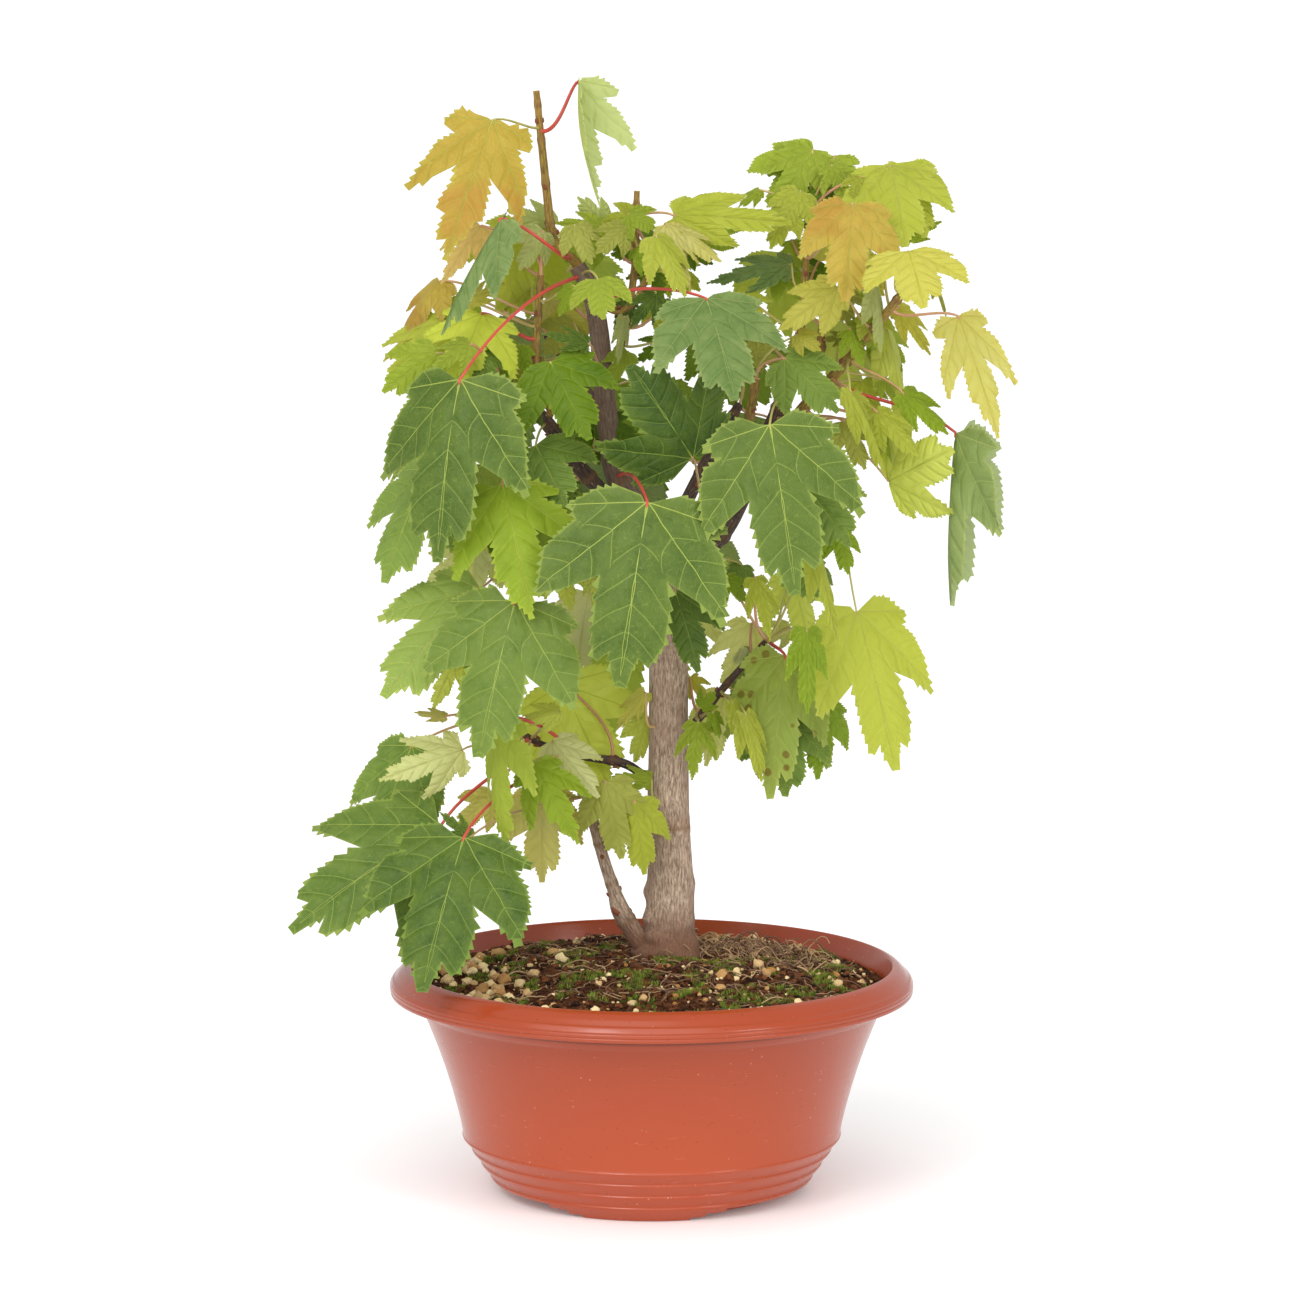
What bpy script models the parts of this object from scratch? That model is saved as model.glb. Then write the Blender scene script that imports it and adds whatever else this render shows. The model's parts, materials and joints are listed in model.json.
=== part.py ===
"""A maple bonsai in a round plastic training bowl.

The bowl is one turned shell on three feet. The soil fills it, the trunk stands in the soil,
and every branch, twig and leaf is a piece of its own that starts a small gap off the piece
that carries it. Plant places are (x, y, height): x and y from the bowl's axis, height from the
foot of the tree, which is TREE_SINK under the soil's crown, all in millimetres at DESIGN_HEIGHT.
"""

import math
from collections import namedtuple

import bmesh
import bpy
from mathutils import Matrix, Vector
from mathutils.bvhtree import BVHTree
from mathutils.geometry import delaunay_2d_cdt, intersect_point_line

MM = 0.001
CLEARANCE = 0.3 * MM
MERGE = 0.01 * MM

# Bowl
BOWL_DIAMETER = 250 * MM
BOWL_HEIGHT = 109 * MM
WALL = 2.2 * MM
RIM_OVERHANG = 12.5 * MM
RIM_WIDTH = 10 * MM
RIM_DROP = 13 * MM
WALL_TAPER = 22.5 * MM
BASE_INSET = 17.5 * MM
RING_COUNT = 4
RING_PITCH = 6.5 * MM
RING_LEDGE = 1.0 * MM
RING_EDGE = 0.4 * MM
RIDGE = 0.8 * MM
RIDGE_HEIGHT = 5 * MM
LIP_BEVEL = (0.6 * MM, 1.5 * MM)
RIM_BEVEL = (1.4 * MM, 1.2 * MM)
RIM_CURVE = ((0.3, 0.12), (0.7, 0.42), (1, 0.78))
BAND = 1 * MM
WALL_CURVE = 0.4
CORNER_CHAMFER = (14 * MM, 4 * MM)
TURNED_STEPS = 40

# Feet, drainage
FOOT_COUNT = 3
FOOT_TURN = math.radians(-96)
FOOT_RING_WIDTH = 3 * MM
BASE_LIFT = 2 * MM
FOOT_STEPS = ((25 * MM, 1.6 * MM), (31.5 * MM, 3.4 * MM), (39.5 * MM, 5.4 * MM))
DRAIN_COUNT = 6
DRAIN_DIAMETER = 9 * MM
DRAIN_CIRCLE = 84 * MM
DRAIN_DRILL = 20 * MM
SECTOR_STEPS = 16

# Soil
SOIL_EDGE_DROP = 10 * MM
SOIL_CROWN = 6 * MM
SOIL_RINGS = (0, 0.3, 0.55, 0.8, 1)
SOIL_LIP_GAP = 1.5 * MM
POCKET_STEPS = 16

# Tree
TREE_SINK = 3 * MM
DESIGN_HEIGHT = 421 * MM
TREE_HEIGHT = 421 * MM
WOOD_THICKNESS = 1.0
LEAF_SIZE = 1.0
LEAF_THICKNESS = 0.8 * MM
STALK_WIDTH = 1.6 * MM
STALK_STEPS = 4
STALK_FOOT = 1.5 * MM
STALK_RISE = 0.12
STALK_REACH = 0.3
LEAF_LIFT = 0.35
SWAY_STEP = 4 * MM
SWAY_STEPS = 8

TREE_SCALE = TREE_HEIGHT / DESIGN_HEIGHT
RIM_RADIUS = BOWL_DIAMETER / 2
BODY_TOP_Z = BOWL_HEIGHT - RIM_DROP - BAND
BODY_TOP_RADIUS = RIM_RADIUS - RIM_OVERHANG
RING_TOP_Z = BAND + RING_COUNT * RING_PITCH
RING_TOP_RADIUS = BODY_TOP_RADIUS - WALL_TAPER
FOOT_RADIUS = RING_TOP_RADIUS - BASE_INSET - BAND
FLOOR_TOP_Z = BASE_LIFT + WALL
SOIL_EDGE_Z = BOWL_HEIGHT - SOIL_EDGE_DROP
SOIL_TOP_Z = BOWL_HEIGHT + SOIL_CROWN
TREE_FOOT_Z = SOIL_TOP_Z - TREE_SINK

Wood = namedtuple("Wood", "name parent along points roundness colour")
Leaf = namedtuple("Leaf", "name twig along base tip facing width fold arch tone")

BARK = (0.30, 0.22, 0.17)
DARK_BARK = (0.10, 0.06, 0.045)
OLIVE_BARK = (0.30, 0.20, 0.05)
LEAF_TONES = {
    "dark": (0.045, 0.13, 0.035),
    "green": (0.09, 0.24, 0.035),
    "lime": (0.33, 0.52, 0.05),
    "yellow": (0.58, 0.60, 0.13),
    "bronze": (0.55, 0.36, 0.08),
}

TRUNK_POINTS = (
    (8, 12, -12, 13), (8, 12, 0, 15), (8.5, 12, 5, 13), (9, 12, 14, 11.6),
    (9, 12, 26, 11.4), (8.5, 12, 48, 10.6), (8, 12, 78, 9.8), (8, 12, 118, 9.4),
    (7.5, 11, 153, 9.2), (6, 9, 178, 9), (2, 7, 200, 8.2), (-6, 6, 213, 6.6),
    (-16, 6, 229, 5.6), (-20, 6, 248, 5.3), (-22, 6, 266, 5), (-25, 6, 299, 4.6),
    (-29, 6, 318, 4.3), (-35, 6, 329, 4),
)

# name, carried by, place along that piece (0 to 1), points (x, y, height, radius), roundness
BRANCHES = (
    Wood("side_stem", "trunk", 0.16,
         ((-13, 5, 19, 5.0), (-18, 2, 32, 4.7), (-23, 0, 47, 4.3), (-31, -4, 79, 3.8)),
         3, BARK),
    Wood("left_branch", "trunk", 0.69,
         ((-35, -2, 236, 3.6), (-45, -3, 250, 3.3), (-53, -4, 260, 3.2), (-62, -4, 268, 3)),
         2, DARK_BARK),
    Wood("left_twig", "left_branch", 0.76,
         ((-54, -3, 275, 2.2), (-54, -2, 295, 2.1), (-52, 0, 325, 2)), 2, OLIVE_BARK),
    Wood("top_twig", "trunk", 1.0,
         ((-46, 5, 341, 2.7), (-49, 4, 362, 2.5), (-52, 4, 392, 2.2), (-54, 4, 411, 1.9)),
         2, OLIVE_BARK),
    Wood("centre_twig", "trunk", 0.86,
         ((-12, 10, 300, 2.2), (-8, 10, 330, 2), (-7, 10, 364, 1.9)), 2, OLIVE_BARK),
    Wood("thin_twig", "trunk", 0.91,
         ((-14, 2, 308, 1.5), (-5, 1, 318, 1.4), (4, 0, 343, 1.2)), 2, OLIVE_BARK),
    Wood("right_branch", "trunk", 0.54,
         ((25, 11, 194, 5.2), (34, 12, 204, 4.8), (42, 12, 218, 4.5), (56, 12, 251, 3.8),
          (63, 10, 268, 3.4)), 3, DARK_BARK),
    Wood("green_stub", "right_branch", 0.62,
         ((43, 1, 232, 2.3), (45, -2, 252, 2.2), (49, -5, 277, 2.1)), 2, OLIVE_BARK),
    Wood("right_upper_twig", "right_branch", 0.84,
         ((72, 10, 262, 3), (89, 6, 281, 2.9), (104, -5, 300, 2.8), (119, -16, 320, 2.7)),
         2, OLIVE_BARK),
    Wood("right_middle_twig", "right_branch", 1.0,
         ((67, 14, 280, 2.4), (70, 16, 292, 2.3), (72, 17, 318, 2.1), (74, 18, 346, 1.9)),
         2, OLIVE_BARK),
    Wood("right_short_twig", "right_upper_twig", 0.45,
         ((80, 12, 288, 1.8), (80, 12, 298, 1.7), (83, 12, 315, 1.5)), 2, OLIVE_BARK),
    Wood("lower_right_twig", "trunk", 0.40,
         ((26, 10, 118, 2), (38, 7, 133, 1.7), (55, 4, 152, 1.3)), 2, DARK_BARK),
    Wood("lower_left_twig", "trunk", 0.365,
         ((-14, 10, 92, 2.2), (-34, 7, 96, 1.9), (-51, 5, 101, 1.7), (-64, 0, 109, 1.3)),
         2, DARK_BARK),
    Wood("back_left_branch", "trunk", 0.74,
         ((-22, 24, 252, 3.2), (-34, 44, 270, 2.7), (-50, 62, 292, 2.2)), 2, DARK_BARK),
    Wood("back_right_branch", "trunk", 0.58,
         ((14, 24, 210, 3.4), (26, 44, 232, 2.9), (42, 66, 258, 2.3)), 2, DARK_BARK),
    Wood("back_low_twig", "trunk", 0.46,
         ((4, 30, 150, 2), (0, 44, 160, 1.8), (-6, 58, 170, 1.5)), 2, DARK_BARK),
)

# name, twig, place along it, blade base, tip of the middle lobe, way the upper face looks
# (degrees, -90 is forward), width, fold and arch (degrees), tone
LEAVES = (
    Leaf("leaf_low_left_front", "lower_left_twig", 0.80, (-87, -66, 69), (-105, -96, 2),
         -100, 1.0, 8, 20, "dark"),
    Leaf("leaf_low_left_outer", "lower_left_twig", 0.92, (-99, -34, 69), (-169, -50, 22),
         -110, 0.9, 15, 25, "dark"),
    Leaf("leaf_low_left_round", "lower_left_twig", 1.0, (-114, 4, 101), (-133, -8, 45),
         -130, 0.9, 6, 15, "green"),
    Leaf("leaf_low_left_pale", "lower_left_twig", 0.96, (-89, -20, 103), (-128, -30, 90),
         -80, 0.8, 20, 20, "yellow"),
    Leaf("leaf_hanging_lime", "lower_left_twig", 0.70, (-72, -48, 123), (-68, -56, 60),
         -120, 0.6, 40, 20, "lime"),
    Leaf("leaf_crinkled", "lower_left_twig", 0.60, (-56, -34, 99), (-34, -48, 63),
         -90, 0.8, 20, 25, "green"),
    Leaf("leaf_low_centre", "lower_left_twig", 0.45, (-43, 24, 128), (-20, 14, 79),
         -90, 1.1, 8, 15, "lime"),
    Leaf("leaf_left_front", "trunk", 0.625, (-63, -64, 179), (-79, -80, 109),
         -98, 1.0, 10, 20, "green"),
    Leaf("leaf_left_behind", "trunk", 0.64, (-80, -36, 181), (-124, -50, 132),
         -110, 0.9, 12, 20, "green"),
    Leaf("leaf_front", "trunk", 0.71, (-2, -75, 226), (-15, -90, 143),
         -90, 1.0, 8, 20, "dark"),
    Leaf("leaf_under_front", "trunk", 0.56, (11, -34, 180), (22, -42, 143),
         -85, 0.9, 12, 15, "dark"),
    Leaf("leaf_upper_left", "trunk", 0.95, (-88, -60, 281), (-99, -74, 198),
         -110, 0.95, 15, 20, "dark"),
    Leaf("leaf_left_lime", "left_branch", 0.95, (-69, -50, 232), (-55, -76, 172),
         -85, 0.85, 12, 20, "lime"),
    Leaf("leaf_left_edge", "left_branch", 1.0, (-103, -25, 236), (-124, -36, 184),
         -130, 1.0, 12, 20, "green"),
    Leaf("leaf_left_inner", "left_twig", 0.40, (-47, -34, 287), (-29, -50, 252),
         -90, 1.1, 10, 20, "green"),
    Leaf("leaf_left_small", "left_branch", 0.72, (-54, -30, 248), (-40, -44, 221),
         -95, 1.1, 12, 20, "green"),
    Leaf("leaf_left_yellow", "left_twig", 0.75, (-79, -22, 309), (-93, -42, 274),
         -100, 1.3, 10, 20, "lime"),
    Leaf("leaf_left_dark_fold", "top_twig", 0.25, (-70, -30, 353), (-96, -38, 300),
         -150, 0.7, 40, 15, "dark"),
    Leaf("leaf_top_bronze", "top_twig", 0.82, (-74, -15, 398), (-96, -32, 334),
         -90, 0.85, 12, 20, "bronze"),
    Leaf("leaf_top_pale", "top_twig", 0.80, (-34, -10, 416), (-25, -16, 358),
         140, 0.6, 45, 10, "yellow"),
    Leaf("leaf_top_small", "trunk", 0.98, (-25, -28, 325), (-22, -50, 308),
         -90, 1.0, 10, 15, "lime"),
    Leaf("leaf_top_pink", "thin_twig", 1.0, (7, -16, 350), (18, -26, 319),
         -80, 0.7, 35, 20, "yellow"),
    Leaf("leaf_top_flat", "centre_twig", 0.92, (10, 2, 353), (65, -10, 350),
         -90, 0.5, 30, 20, "lime"),
    Leaf("leaf_upper_centre", "thin_twig", 0.35, (25, -42, 317), (38, -80, 273),
         -80, 1.0, 8, 20, "dark"),
    Leaf("leaf_inner_dark", "right_branch", 0.45, (19, -42, 243), (-10, -52, 287),
         -90, 1.25, 15, 15, "dark"),
    Leaf("leaf_right_front", "right_branch", 0.97, (54, -68, 261), (66, -82, 184),
         -85, 1.0, 8, 20, "green"),
    Leaf("leaf_right_inner", "right_branch", 0.90, (69, -30, 232), (92, -42, 202),
         -80, 1.1, 10, 20, "dark"),
    Leaf("leaf_right_bronze", "right_middle_twig", 0.90, (93, -26, 360), (89, -50, 316),
         -90, 1.0, 8, 20, "bronze"),
    Leaf("leaf_right_top", "right_middle_twig", 1.0, (112, 4, 369), (118, -24, 340),
         -85, 1.1, 10, 20, "lime"),
    Leaf("leaf_right_crown", "right_middle_twig", 0.97, (75, 38, 381), (58, 26, 351),
         -95, 1.1, 12, 20, "lime"),
    Leaf("leaf_right_yellow_top", "right_upper_twig", 0.98, (118, -46, 339), (124, -76, 315),
         -85, 1.2, 6, 20, "yellow"),
    Leaf("leaf_far_right_yellow", "right_upper_twig", 0.90, (143, -16, 307), (161, -30, 251),
         -80, 0.62, 10, 15, "yellow"),
    Leaf("leaf_far_right_fold", "right_upper_twig", 0.55, (143, 0, 251), (142, -6, 170),
         170, 0.9, 50, 10, "green"),
    Leaf("leaf_right_point", "right_upper_twig", 0.40, (112, 8, 227), (141, -16, 245),
         -80, 1.0, 12, 10, "lime"),
    Leaf("leaf_right_hanging", "right_upper_twig", 0.30, (96, -22, 169), (114, -32, 95),
         -75, 0.75, 10, 20, "yellow"),
    Leaf("leaf_low_right_spotted", "lower_right_twig", 1.0, (63, -6, 146), (56, -18, 79),
         -90, 0.9, 20, 20, "lime"),
    Leaf("leaf_back_left_top", "back_left_branch", 1.0, (-64, 72, 290), (-76, 92, 222),
         115, 1.0, 10, 20, "green"),
    Leaf("leaf_back_left_edge", "back_left_branch", 0.90, (-96, 44, 262), (-122, 58, 198),
         150, 1.0, 12, 20, "lime"),
    Leaf("leaf_back_centre", "back_left_branch", 0.70, (-8, 74, 268), (-10, 98, 196),
         90, 1.0, 8, 20, "green"),
    Leaf("leaf_back_right", "back_right_branch", 1.0, (58, 78, 250), (72, 98, 180),
         65, 1.0, 10, 20, "green"),
    Leaf("leaf_back_low", "back_low_twig", 1.0, (-16, 72, 160), (-22, 92, 92),
         95, 1.0, 10, 20, "lime"),
)


def clear_scene():
    """Remove every object that the file opened with."""
    for item in list(bpy.data.objects):
        bpy.data.objects.remove(item, do_unlink=True)


def new_collection(name):
    """Add a collection to the scene."""
    collection = bpy.data.collections.new(name)
    bpy.context.scene.collection.children.link(collection)
    return collection


def finish(name, colour, roughness):
    """Make a plain non-metal surface."""
    material = bpy.data.materials.new(name)
    material.use_nodes = True
    shader = material.node_tree.nodes["Principled BSDF"]
    shader.inputs["Base Color"].default_value = (*colour, 1)
    shader.inputs["Roughness"].default_value = roughness
    shader.inputs["Metallic"].default_value = 0
    material.diffuse_color = (*colour, 1)
    return material


def add_object(name, data, collection, material=None):
    """Put mesh or curve data in the model under its piece's name."""
    item = bpy.data.objects.new(name, data)
    collection.objects.link(item)
    if material:
        data.materials.append(material)
    return item


def turned(name, profile, collection, material):
    """Turn an open profile of (radius, height) that starts and ends on the axis."""
    mesh = bpy.data.meshes.new(name)
    points = [(radius, 0, height) for radius, height in profile]
    mesh.from_pydata(points, [(i, i + 1) for i in range(len(points) - 1)], [])
    item = add_object(name, mesh, collection, material)
    screw = item.modifiers.new("turn", "SCREW")
    screw.axis = "Z"
    screw.steps = TURNED_STEPS
    screw.render_steps = TURNED_STEPS
    screw.use_merge_vertices = True
    screw.merge_threshold = MERGE
    return item


def cut(item, cutter):
    """Take a cutter's shape out of an object."""
    boolean = item.modifiers.new("cut_" + cutter.name, "BOOLEAN")
    boolean.operation = "DIFFERENCE"
    boolean.solver = "EXACT"
    boolean.object = cutter


def cutter_object(name, shape, collection):
    """Turn a bmesh into a hidden cutter."""
    bmesh.ops.recalc_face_normals(shape, faces=shape.faces)
    mesh = bpy.data.meshes.new(name)
    shape.to_mesh(mesh)
    shape.free()
    item = add_object(name, mesh, collection)
    item.hide_render = True
    item.display_type = "WIRE"
    return item


def wall_radius(height):
    """Outer radius of the smooth bowl wall between the rings and the rim."""
    rise = (height - RING_TOP_Z) / (BODY_TOP_Z - RING_TOP_Z)
    return RING_TOP_RADIUS + WALL_TAPER * rise * (1 - WALL_CURVE + WALL_CURVE * rise)


def ring_radius(height):
    """Outer radius of the stepped foot of the bowl, without its ledges."""
    return RING_TOP_RADIUS - BASE_INSET * (RING_TOP_Z - height) / (RING_TOP_Z - BAND)


def inner_profile(gap):
    """The inside of the bowl from the floor's middle to the lip, moved inwards by a gap."""
    inset, rise = CORNER_CHAMFER
    corner = ring_radius(FLOOR_TOP_Z) - inset
    points = [(0, FLOOR_TOP_Z + gap), (corner - gap, FLOOR_TOP_Z + gap)]
    for height in (FLOOR_TOP_Z + rise, (FLOOR_TOP_Z + rise + RING_TOP_Z) / 2, RING_TOP_Z):
        points.append((ring_radius(height) - WALL - 2 * RING_LEDGE - gap, height))
    for share in (0.25, 0.5, 0.75, 0.9):
        height = RING_TOP_Z + share * (BODY_TOP_Z - RING_TOP_Z)
        points.append((wall_radius(height) - WALL - gap, height))
    return points


def outer_profile():
    """The rim, the wall, the stepped rings and the foot ring, from the lip down."""
    lip = RIM_RADIUS - RIM_WIDTH
    rim_foot = BOWL_HEIGHT - RIM_DROP
    ridge_foot = BODY_TOP_Z - RIDGE_HEIGHT
    points = [(lip - LIP_BEVEL[0], BOWL_HEIGHT - LIP_BEVEL[1]), (lip, BOWL_HEIGHT)]
    points += [(lip + across * RIM_WIDTH, BOWL_HEIGHT - down * RIM_DROP) for across, down in RIM_CURVE]
    points += [
        (RIM_RADIUS, rim_foot + RIM_BEVEL[1]),
        (RIM_RADIUS - RIM_BEVEL[0], rim_foot),
        (BODY_TOP_RADIUS + RIDGE, BODY_TOP_Z),
        (wall_radius(ridge_foot) + RIDGE, ridge_foot),
        (wall_radius(ridge_foot - BAND), ridge_foot - BAND),
    ]
    for share in (0.75, 0.5, 0.25):
        height = RING_TOP_Z + share * (BODY_TOP_Z - RING_TOP_Z)
        points.append((wall_radius(height), height))
    for ring in range(RING_COUNT):
        height = RING_TOP_Z - ring * RING_PITCH
        points.append((ring_radius(height + RING_EDGE), height + RING_EDGE))
        points.append((ring_radius(height) + RING_LEDGE, height - RING_EDGE))
    points += [
        (FOOT_RADIUS + BAND, 1.5 * BAND),
        (FOOT_RADIUS, 0),
        (FOOT_RADIUS - FOOT_RING_WIDTH, 0),
        (FOOT_RADIUS - FOOT_RING_WIDTH - RING_EDGE, BASE_LIFT),
        (0, BASE_LIFT),
    ]
    return points


def sector(shape, radii, angles, heights):
    """Add a closed ring sector between two radii, two angles and two heights."""
    steps = SECTOR_STEPS
    outline = []
    for radius, order in ((radii[0], range(steps + 1)), (radii[1], range(steps, -1, -1))):
        for step in order:
            angle = angles[0] + (angles[1] - angles[0]) * step / steps
            outline.append((radius * math.cos(angle), radius * math.sin(angle), heights[0]))
    face = shape.faces.new([shape.verts.new(point) for point in outline])
    grown = bmesh.ops.extrude_face_region(shape, geom=[face])
    moved = [part for part in grown["geom"] if isinstance(part, bmesh.types.BMVert)]
    bmesh.ops.translate(shape, verts=moved, vec=(0, 0, heights[1] - heights[0]))


def make_bowl(collection, cutters):
    """The plastic bowl: a turned shell with notches between its feet and drainage holes."""
    profile = inner_profile(0) + outer_profile()
    bowl = turned("bowl", profile, collection, finish("terracotta_plastic", (0.56, 0.11, 0.05), 0.35))
    for number, (half_width, height) in enumerate(FOOT_STEPS):
        shape = bmesh.new()
        inner = FOOT_RADIUS - FOOT_RING_WIDTH - BAND - number * CLEARANCE
        half_angle = math.asin(half_width / FOOT_RADIUS)
        for foot in range(FOOT_COUNT):
            start = FOOT_TURN + 2 * math.pi * foot / FOOT_COUNT + half_angle
            end = FOOT_TURN + 2 * math.pi * (foot + 1) / FOOT_COUNT - half_angle
            sector(shape, (inner, RIM_RADIUS), (start, end), (-height, height))
        cut(bowl, cutter_object(f"notch_{number + 1}", shape, cutters))
    holes = bmesh.new()
    for hole in range(DRAIN_COUNT):
        angle = 2 * math.pi * (hole + 0.5) / DRAIN_COUNT
        radius = DRAIN_CIRCLE / 2
        place = Matrix.Translation((radius * math.cos(angle), radius * math.sin(angle), FLOOR_TOP_Z))
        bmesh.ops.create_cone(holes, cap_ends=True, segments=12, radius1=DRAIN_DIAMETER / 2,
                              radius2=DRAIN_DIAMETER / 2, depth=DRAIN_DRILL, matrix=place)
    cut(bowl, cutter_object("drain_holes", holes, cutters))
    return bowl


def make_soil(collection, cutters):
    """The soil: it fits the bowl, rises to a low crown and has a pocket for the trunk."""
    wall = [point for point in inner_profile(CLEARANCE) if point[1] < SOIL_EDGE_Z]
    edge = wall_radius(min(SOIL_EDGE_Z, BODY_TOP_Z)) - WALL - CLEARANCE
    edge = min(edge, RIM_RADIUS - RIM_WIDTH - SOIL_LIP_GAP)
    crown = []
    for share in SOIL_RINGS:
        height = SOIL_TOP_Z - (SOIL_TOP_Z - SOIL_EDGE_Z) * share * share
        crown.append((edge * share, height))
    profile = crown + [(radius, height) for radius, height in reversed(wall)]
    soil = turned("soil", profile, collection, finish("soil", (0.07, 0.045, 0.03), 0.95))
    x, y, depth, radius = plant_point(TRUNK_POINTS[1])
    bottom = plant_point(TRUNK_POINTS[0])[2]
    height = 2 * (SOIL_TOP_Z - bottom) + 2 * CLEARANCE
    pocket = bmesh.new()
    wide = (radius + 2 * CLEARANCE) / math.cos(math.pi / POCKET_STEPS)
    bmesh.ops.create_cone(pocket, cap_ends=True, segments=POCKET_STEPS, radius1=wide,
                          radius2=wide, depth=height, matrix=Matrix.Translation((x, y, depth)))
    cut(soil, cutter_object("trunk_pocket", pocket, cutters))
    return soil


def plant_place(place):
    """A place on the tree, from (x, y, height above the soil) in design millimetres."""
    x, y, height = place[:3]
    return Vector((x * MM, y * MM, height * MM)) * TREE_SCALE + Vector((0, 0, TREE_FOOT_Z))


def plant_point(point):
    """A point of a branch with its radius."""
    return (*plant_place(point), point[3] * MM * WOOD_THICKNESS)


def along_branch(points, share):
    """Centre, direction and radius of a branch a share of the way along its points."""
    place = share * (len(points) - 1)
    index = min(int(place), len(points) - 2)
    blend = place - index
    low, high = points[index], points[index + 1]
    start, end = Vector(low[:3]), Vector(high[:3])
    radius = low[3] + (high[3] - low[3]) * blend
    return start.lerp(end, blend), (end - start).normalized(), radius


def swelling(points, share):
    """How fast a branch changes its radius around a place along it."""
    index = int(share * (len(points) - 1))
    steepest = 0
    for low, high in zip(points[max(index - 1, 0):], points[max(index - 1, 0) + 1:index + 3]):
        run = (Vector(high[:3]) - Vector(low[:3])).length
        steepest = max(steepest, abs(high[3] - low[3]) / run)
    return steepest


def branch_off(points, share, towards, half_width):
    """Where a piece leaves a branch to go towards a place, and the way it sets off."""
    centre, direction, radius = along_branch(points, share)
    radius += swelling(points, share) * half_width
    if share >= 1 and (towards - centre).normalized().dot(direction) > 0.5:
        return centre + direction * CLEARANCE, direction
    away = towards - centre
    away = (away - direction * away.dot(direction)).normalized()
    return centre + away * (radius + CLEARANCE), away


def nearest_on(points, place):
    """Nearest place on a branch's middle line, with the radius there."""
    best = None
    for low, high in zip(points, points[1:]):
        start, end = Vector(low[:3]), Vector(high[:3])
        share = intersect_point_line(place, start, end)[1]
        share = min(max(share, 0), 1)
        spot = start.lerp(end, share)
        if best is None or (place - spot).length < (place - best[0]).length:
            best = (spot, low[3] + (high[3] - low[3]) * share)
    return best


def clear_of(points, parent):
    """Move the points of a branch off the branch that carries it, where the two would touch."""
    moved = []
    for point in points:
        place = Vector(point[:3])
        spot, radius = nearest_on(parent, place)
        away = place - spot
        room = radius + point[3] + 2 * CLEARANCE
        if away.length < room:
            place = spot + away.normalized() * room
        moved.append((*place, point[3]))
    return moved


def make_wood(name, points, roundness, collection, colour):
    """A tapering round branch along its points."""
    curve = bpy.data.curves.new(name, "CURVE")
    curve.dimensions = "3D"
    curve.bevel_depth = 1
    curve.bevel_resolution = roundness
    curve.use_fill_caps = True
    line = curve.splines.new("POLY")
    line.points.add(len(points) - 1)
    for spot, (x, y, z, radius) in zip(line.points, points):
        spot.co = (x, y, z, 1)
        spot.radius = radius
    return add_object(name, curve, collection, finish(name, colour, 0.85))


def make_tree(collection):
    """The trunk and every branch, each one a gap off the piece that carries it."""
    grown = {"trunk": [plant_point(point) for point in TRUNK_POINTS]}
    pieces = [make_wood("trunk", grown["trunk"], 4, collection, BARK)]
    for wood in BRANCHES:
        points = clear_of([plant_point(point) for point in wood.points], grown[wood.parent])
        radius = points[0][3]
        first = Vector(points[0][:3])
        start, away = branch_off(grown[wood.parent], wood.along, first, radius)
        collar = start + away * radius
        points = [(*start, radius), (*collar, radius)] + points
        grown[wood.name] = points
        pieces.append(make_wood(wood.name, points, wood.roundness, collection, wood.colour))
    return grown, pieces


# Right half of a leaf blade in shares of its length: x across, y from the stalk to the tip.
BLADE_EDGE = (
    (0.14, -0.05), (0.40, 0.08), (0.33, 0.19), (0.44, 0.33), (0.50, 0.51), (0.34, 0.49),
    (0.19, 0.43), (0.24, 0.66), (0.12, 0.84),
)
BLADE_VEINS = ((0, 0.25), (0, 0.5), (0, 0.75), (0.2, 0.2), (-0.2, 0.2))


def blade_sheet(length, width):
    """Points and faces of a flat blade in metres; its first two points meet the stalk."""
    half = STALK_WIDTH / 2
    right = [(x * length * width, y * length) for x, y in BLADE_EDGE]
    left = [(-x, y) for x, y in reversed(right)]
    outline = [(half, 0)] + right + [(0, length)] + left + [(-half, 0)]
    veins = [(x * length * width, y * length) for x, y in BLADE_VEINS]
    order = list(range(len(outline)))
    edges = list(zip(order, order[1:] + order[:1]))
    flat = [Vector(point) for point in outline + veins]
    points, _, faces, *_ = delaunay_2d_cdt(flat, edges, [order], 1, 1e-7)
    return [point[:] for point in points], [list(face) for face in faces], len(outline)


def bent(point, length, fold, arch):
    """Fold a flat blade point down from the midrib and arch the midrib."""
    x, y = point
    across = x * math.cos(fold)
    down = -abs(x) * math.sin(fold)
    angle = arch * y / length
    reach = length * math.sin(angle) / arch
    sink = length * (1 - math.cos(angle)) / arch
    return Vector((across, reach + down * math.sin(angle), down * math.cos(angle) - sink))


def leaf_frame(base, tip, facing, arch):
    """Turn that sets a bent blade between its base and tip with its upper face outwards."""
    chord = (tip - base).normalized()
    look = Vector((math.cos(facing), math.sin(facing), LEAF_LIFT))
    up = (look - chord * look.dot(chord)).normalized()
    side = chord.cross(up)
    turn = Matrix((side, chord, up)).transposed()
    return turn @ Matrix.Rotation(arch / 2, 3, "X")


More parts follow.
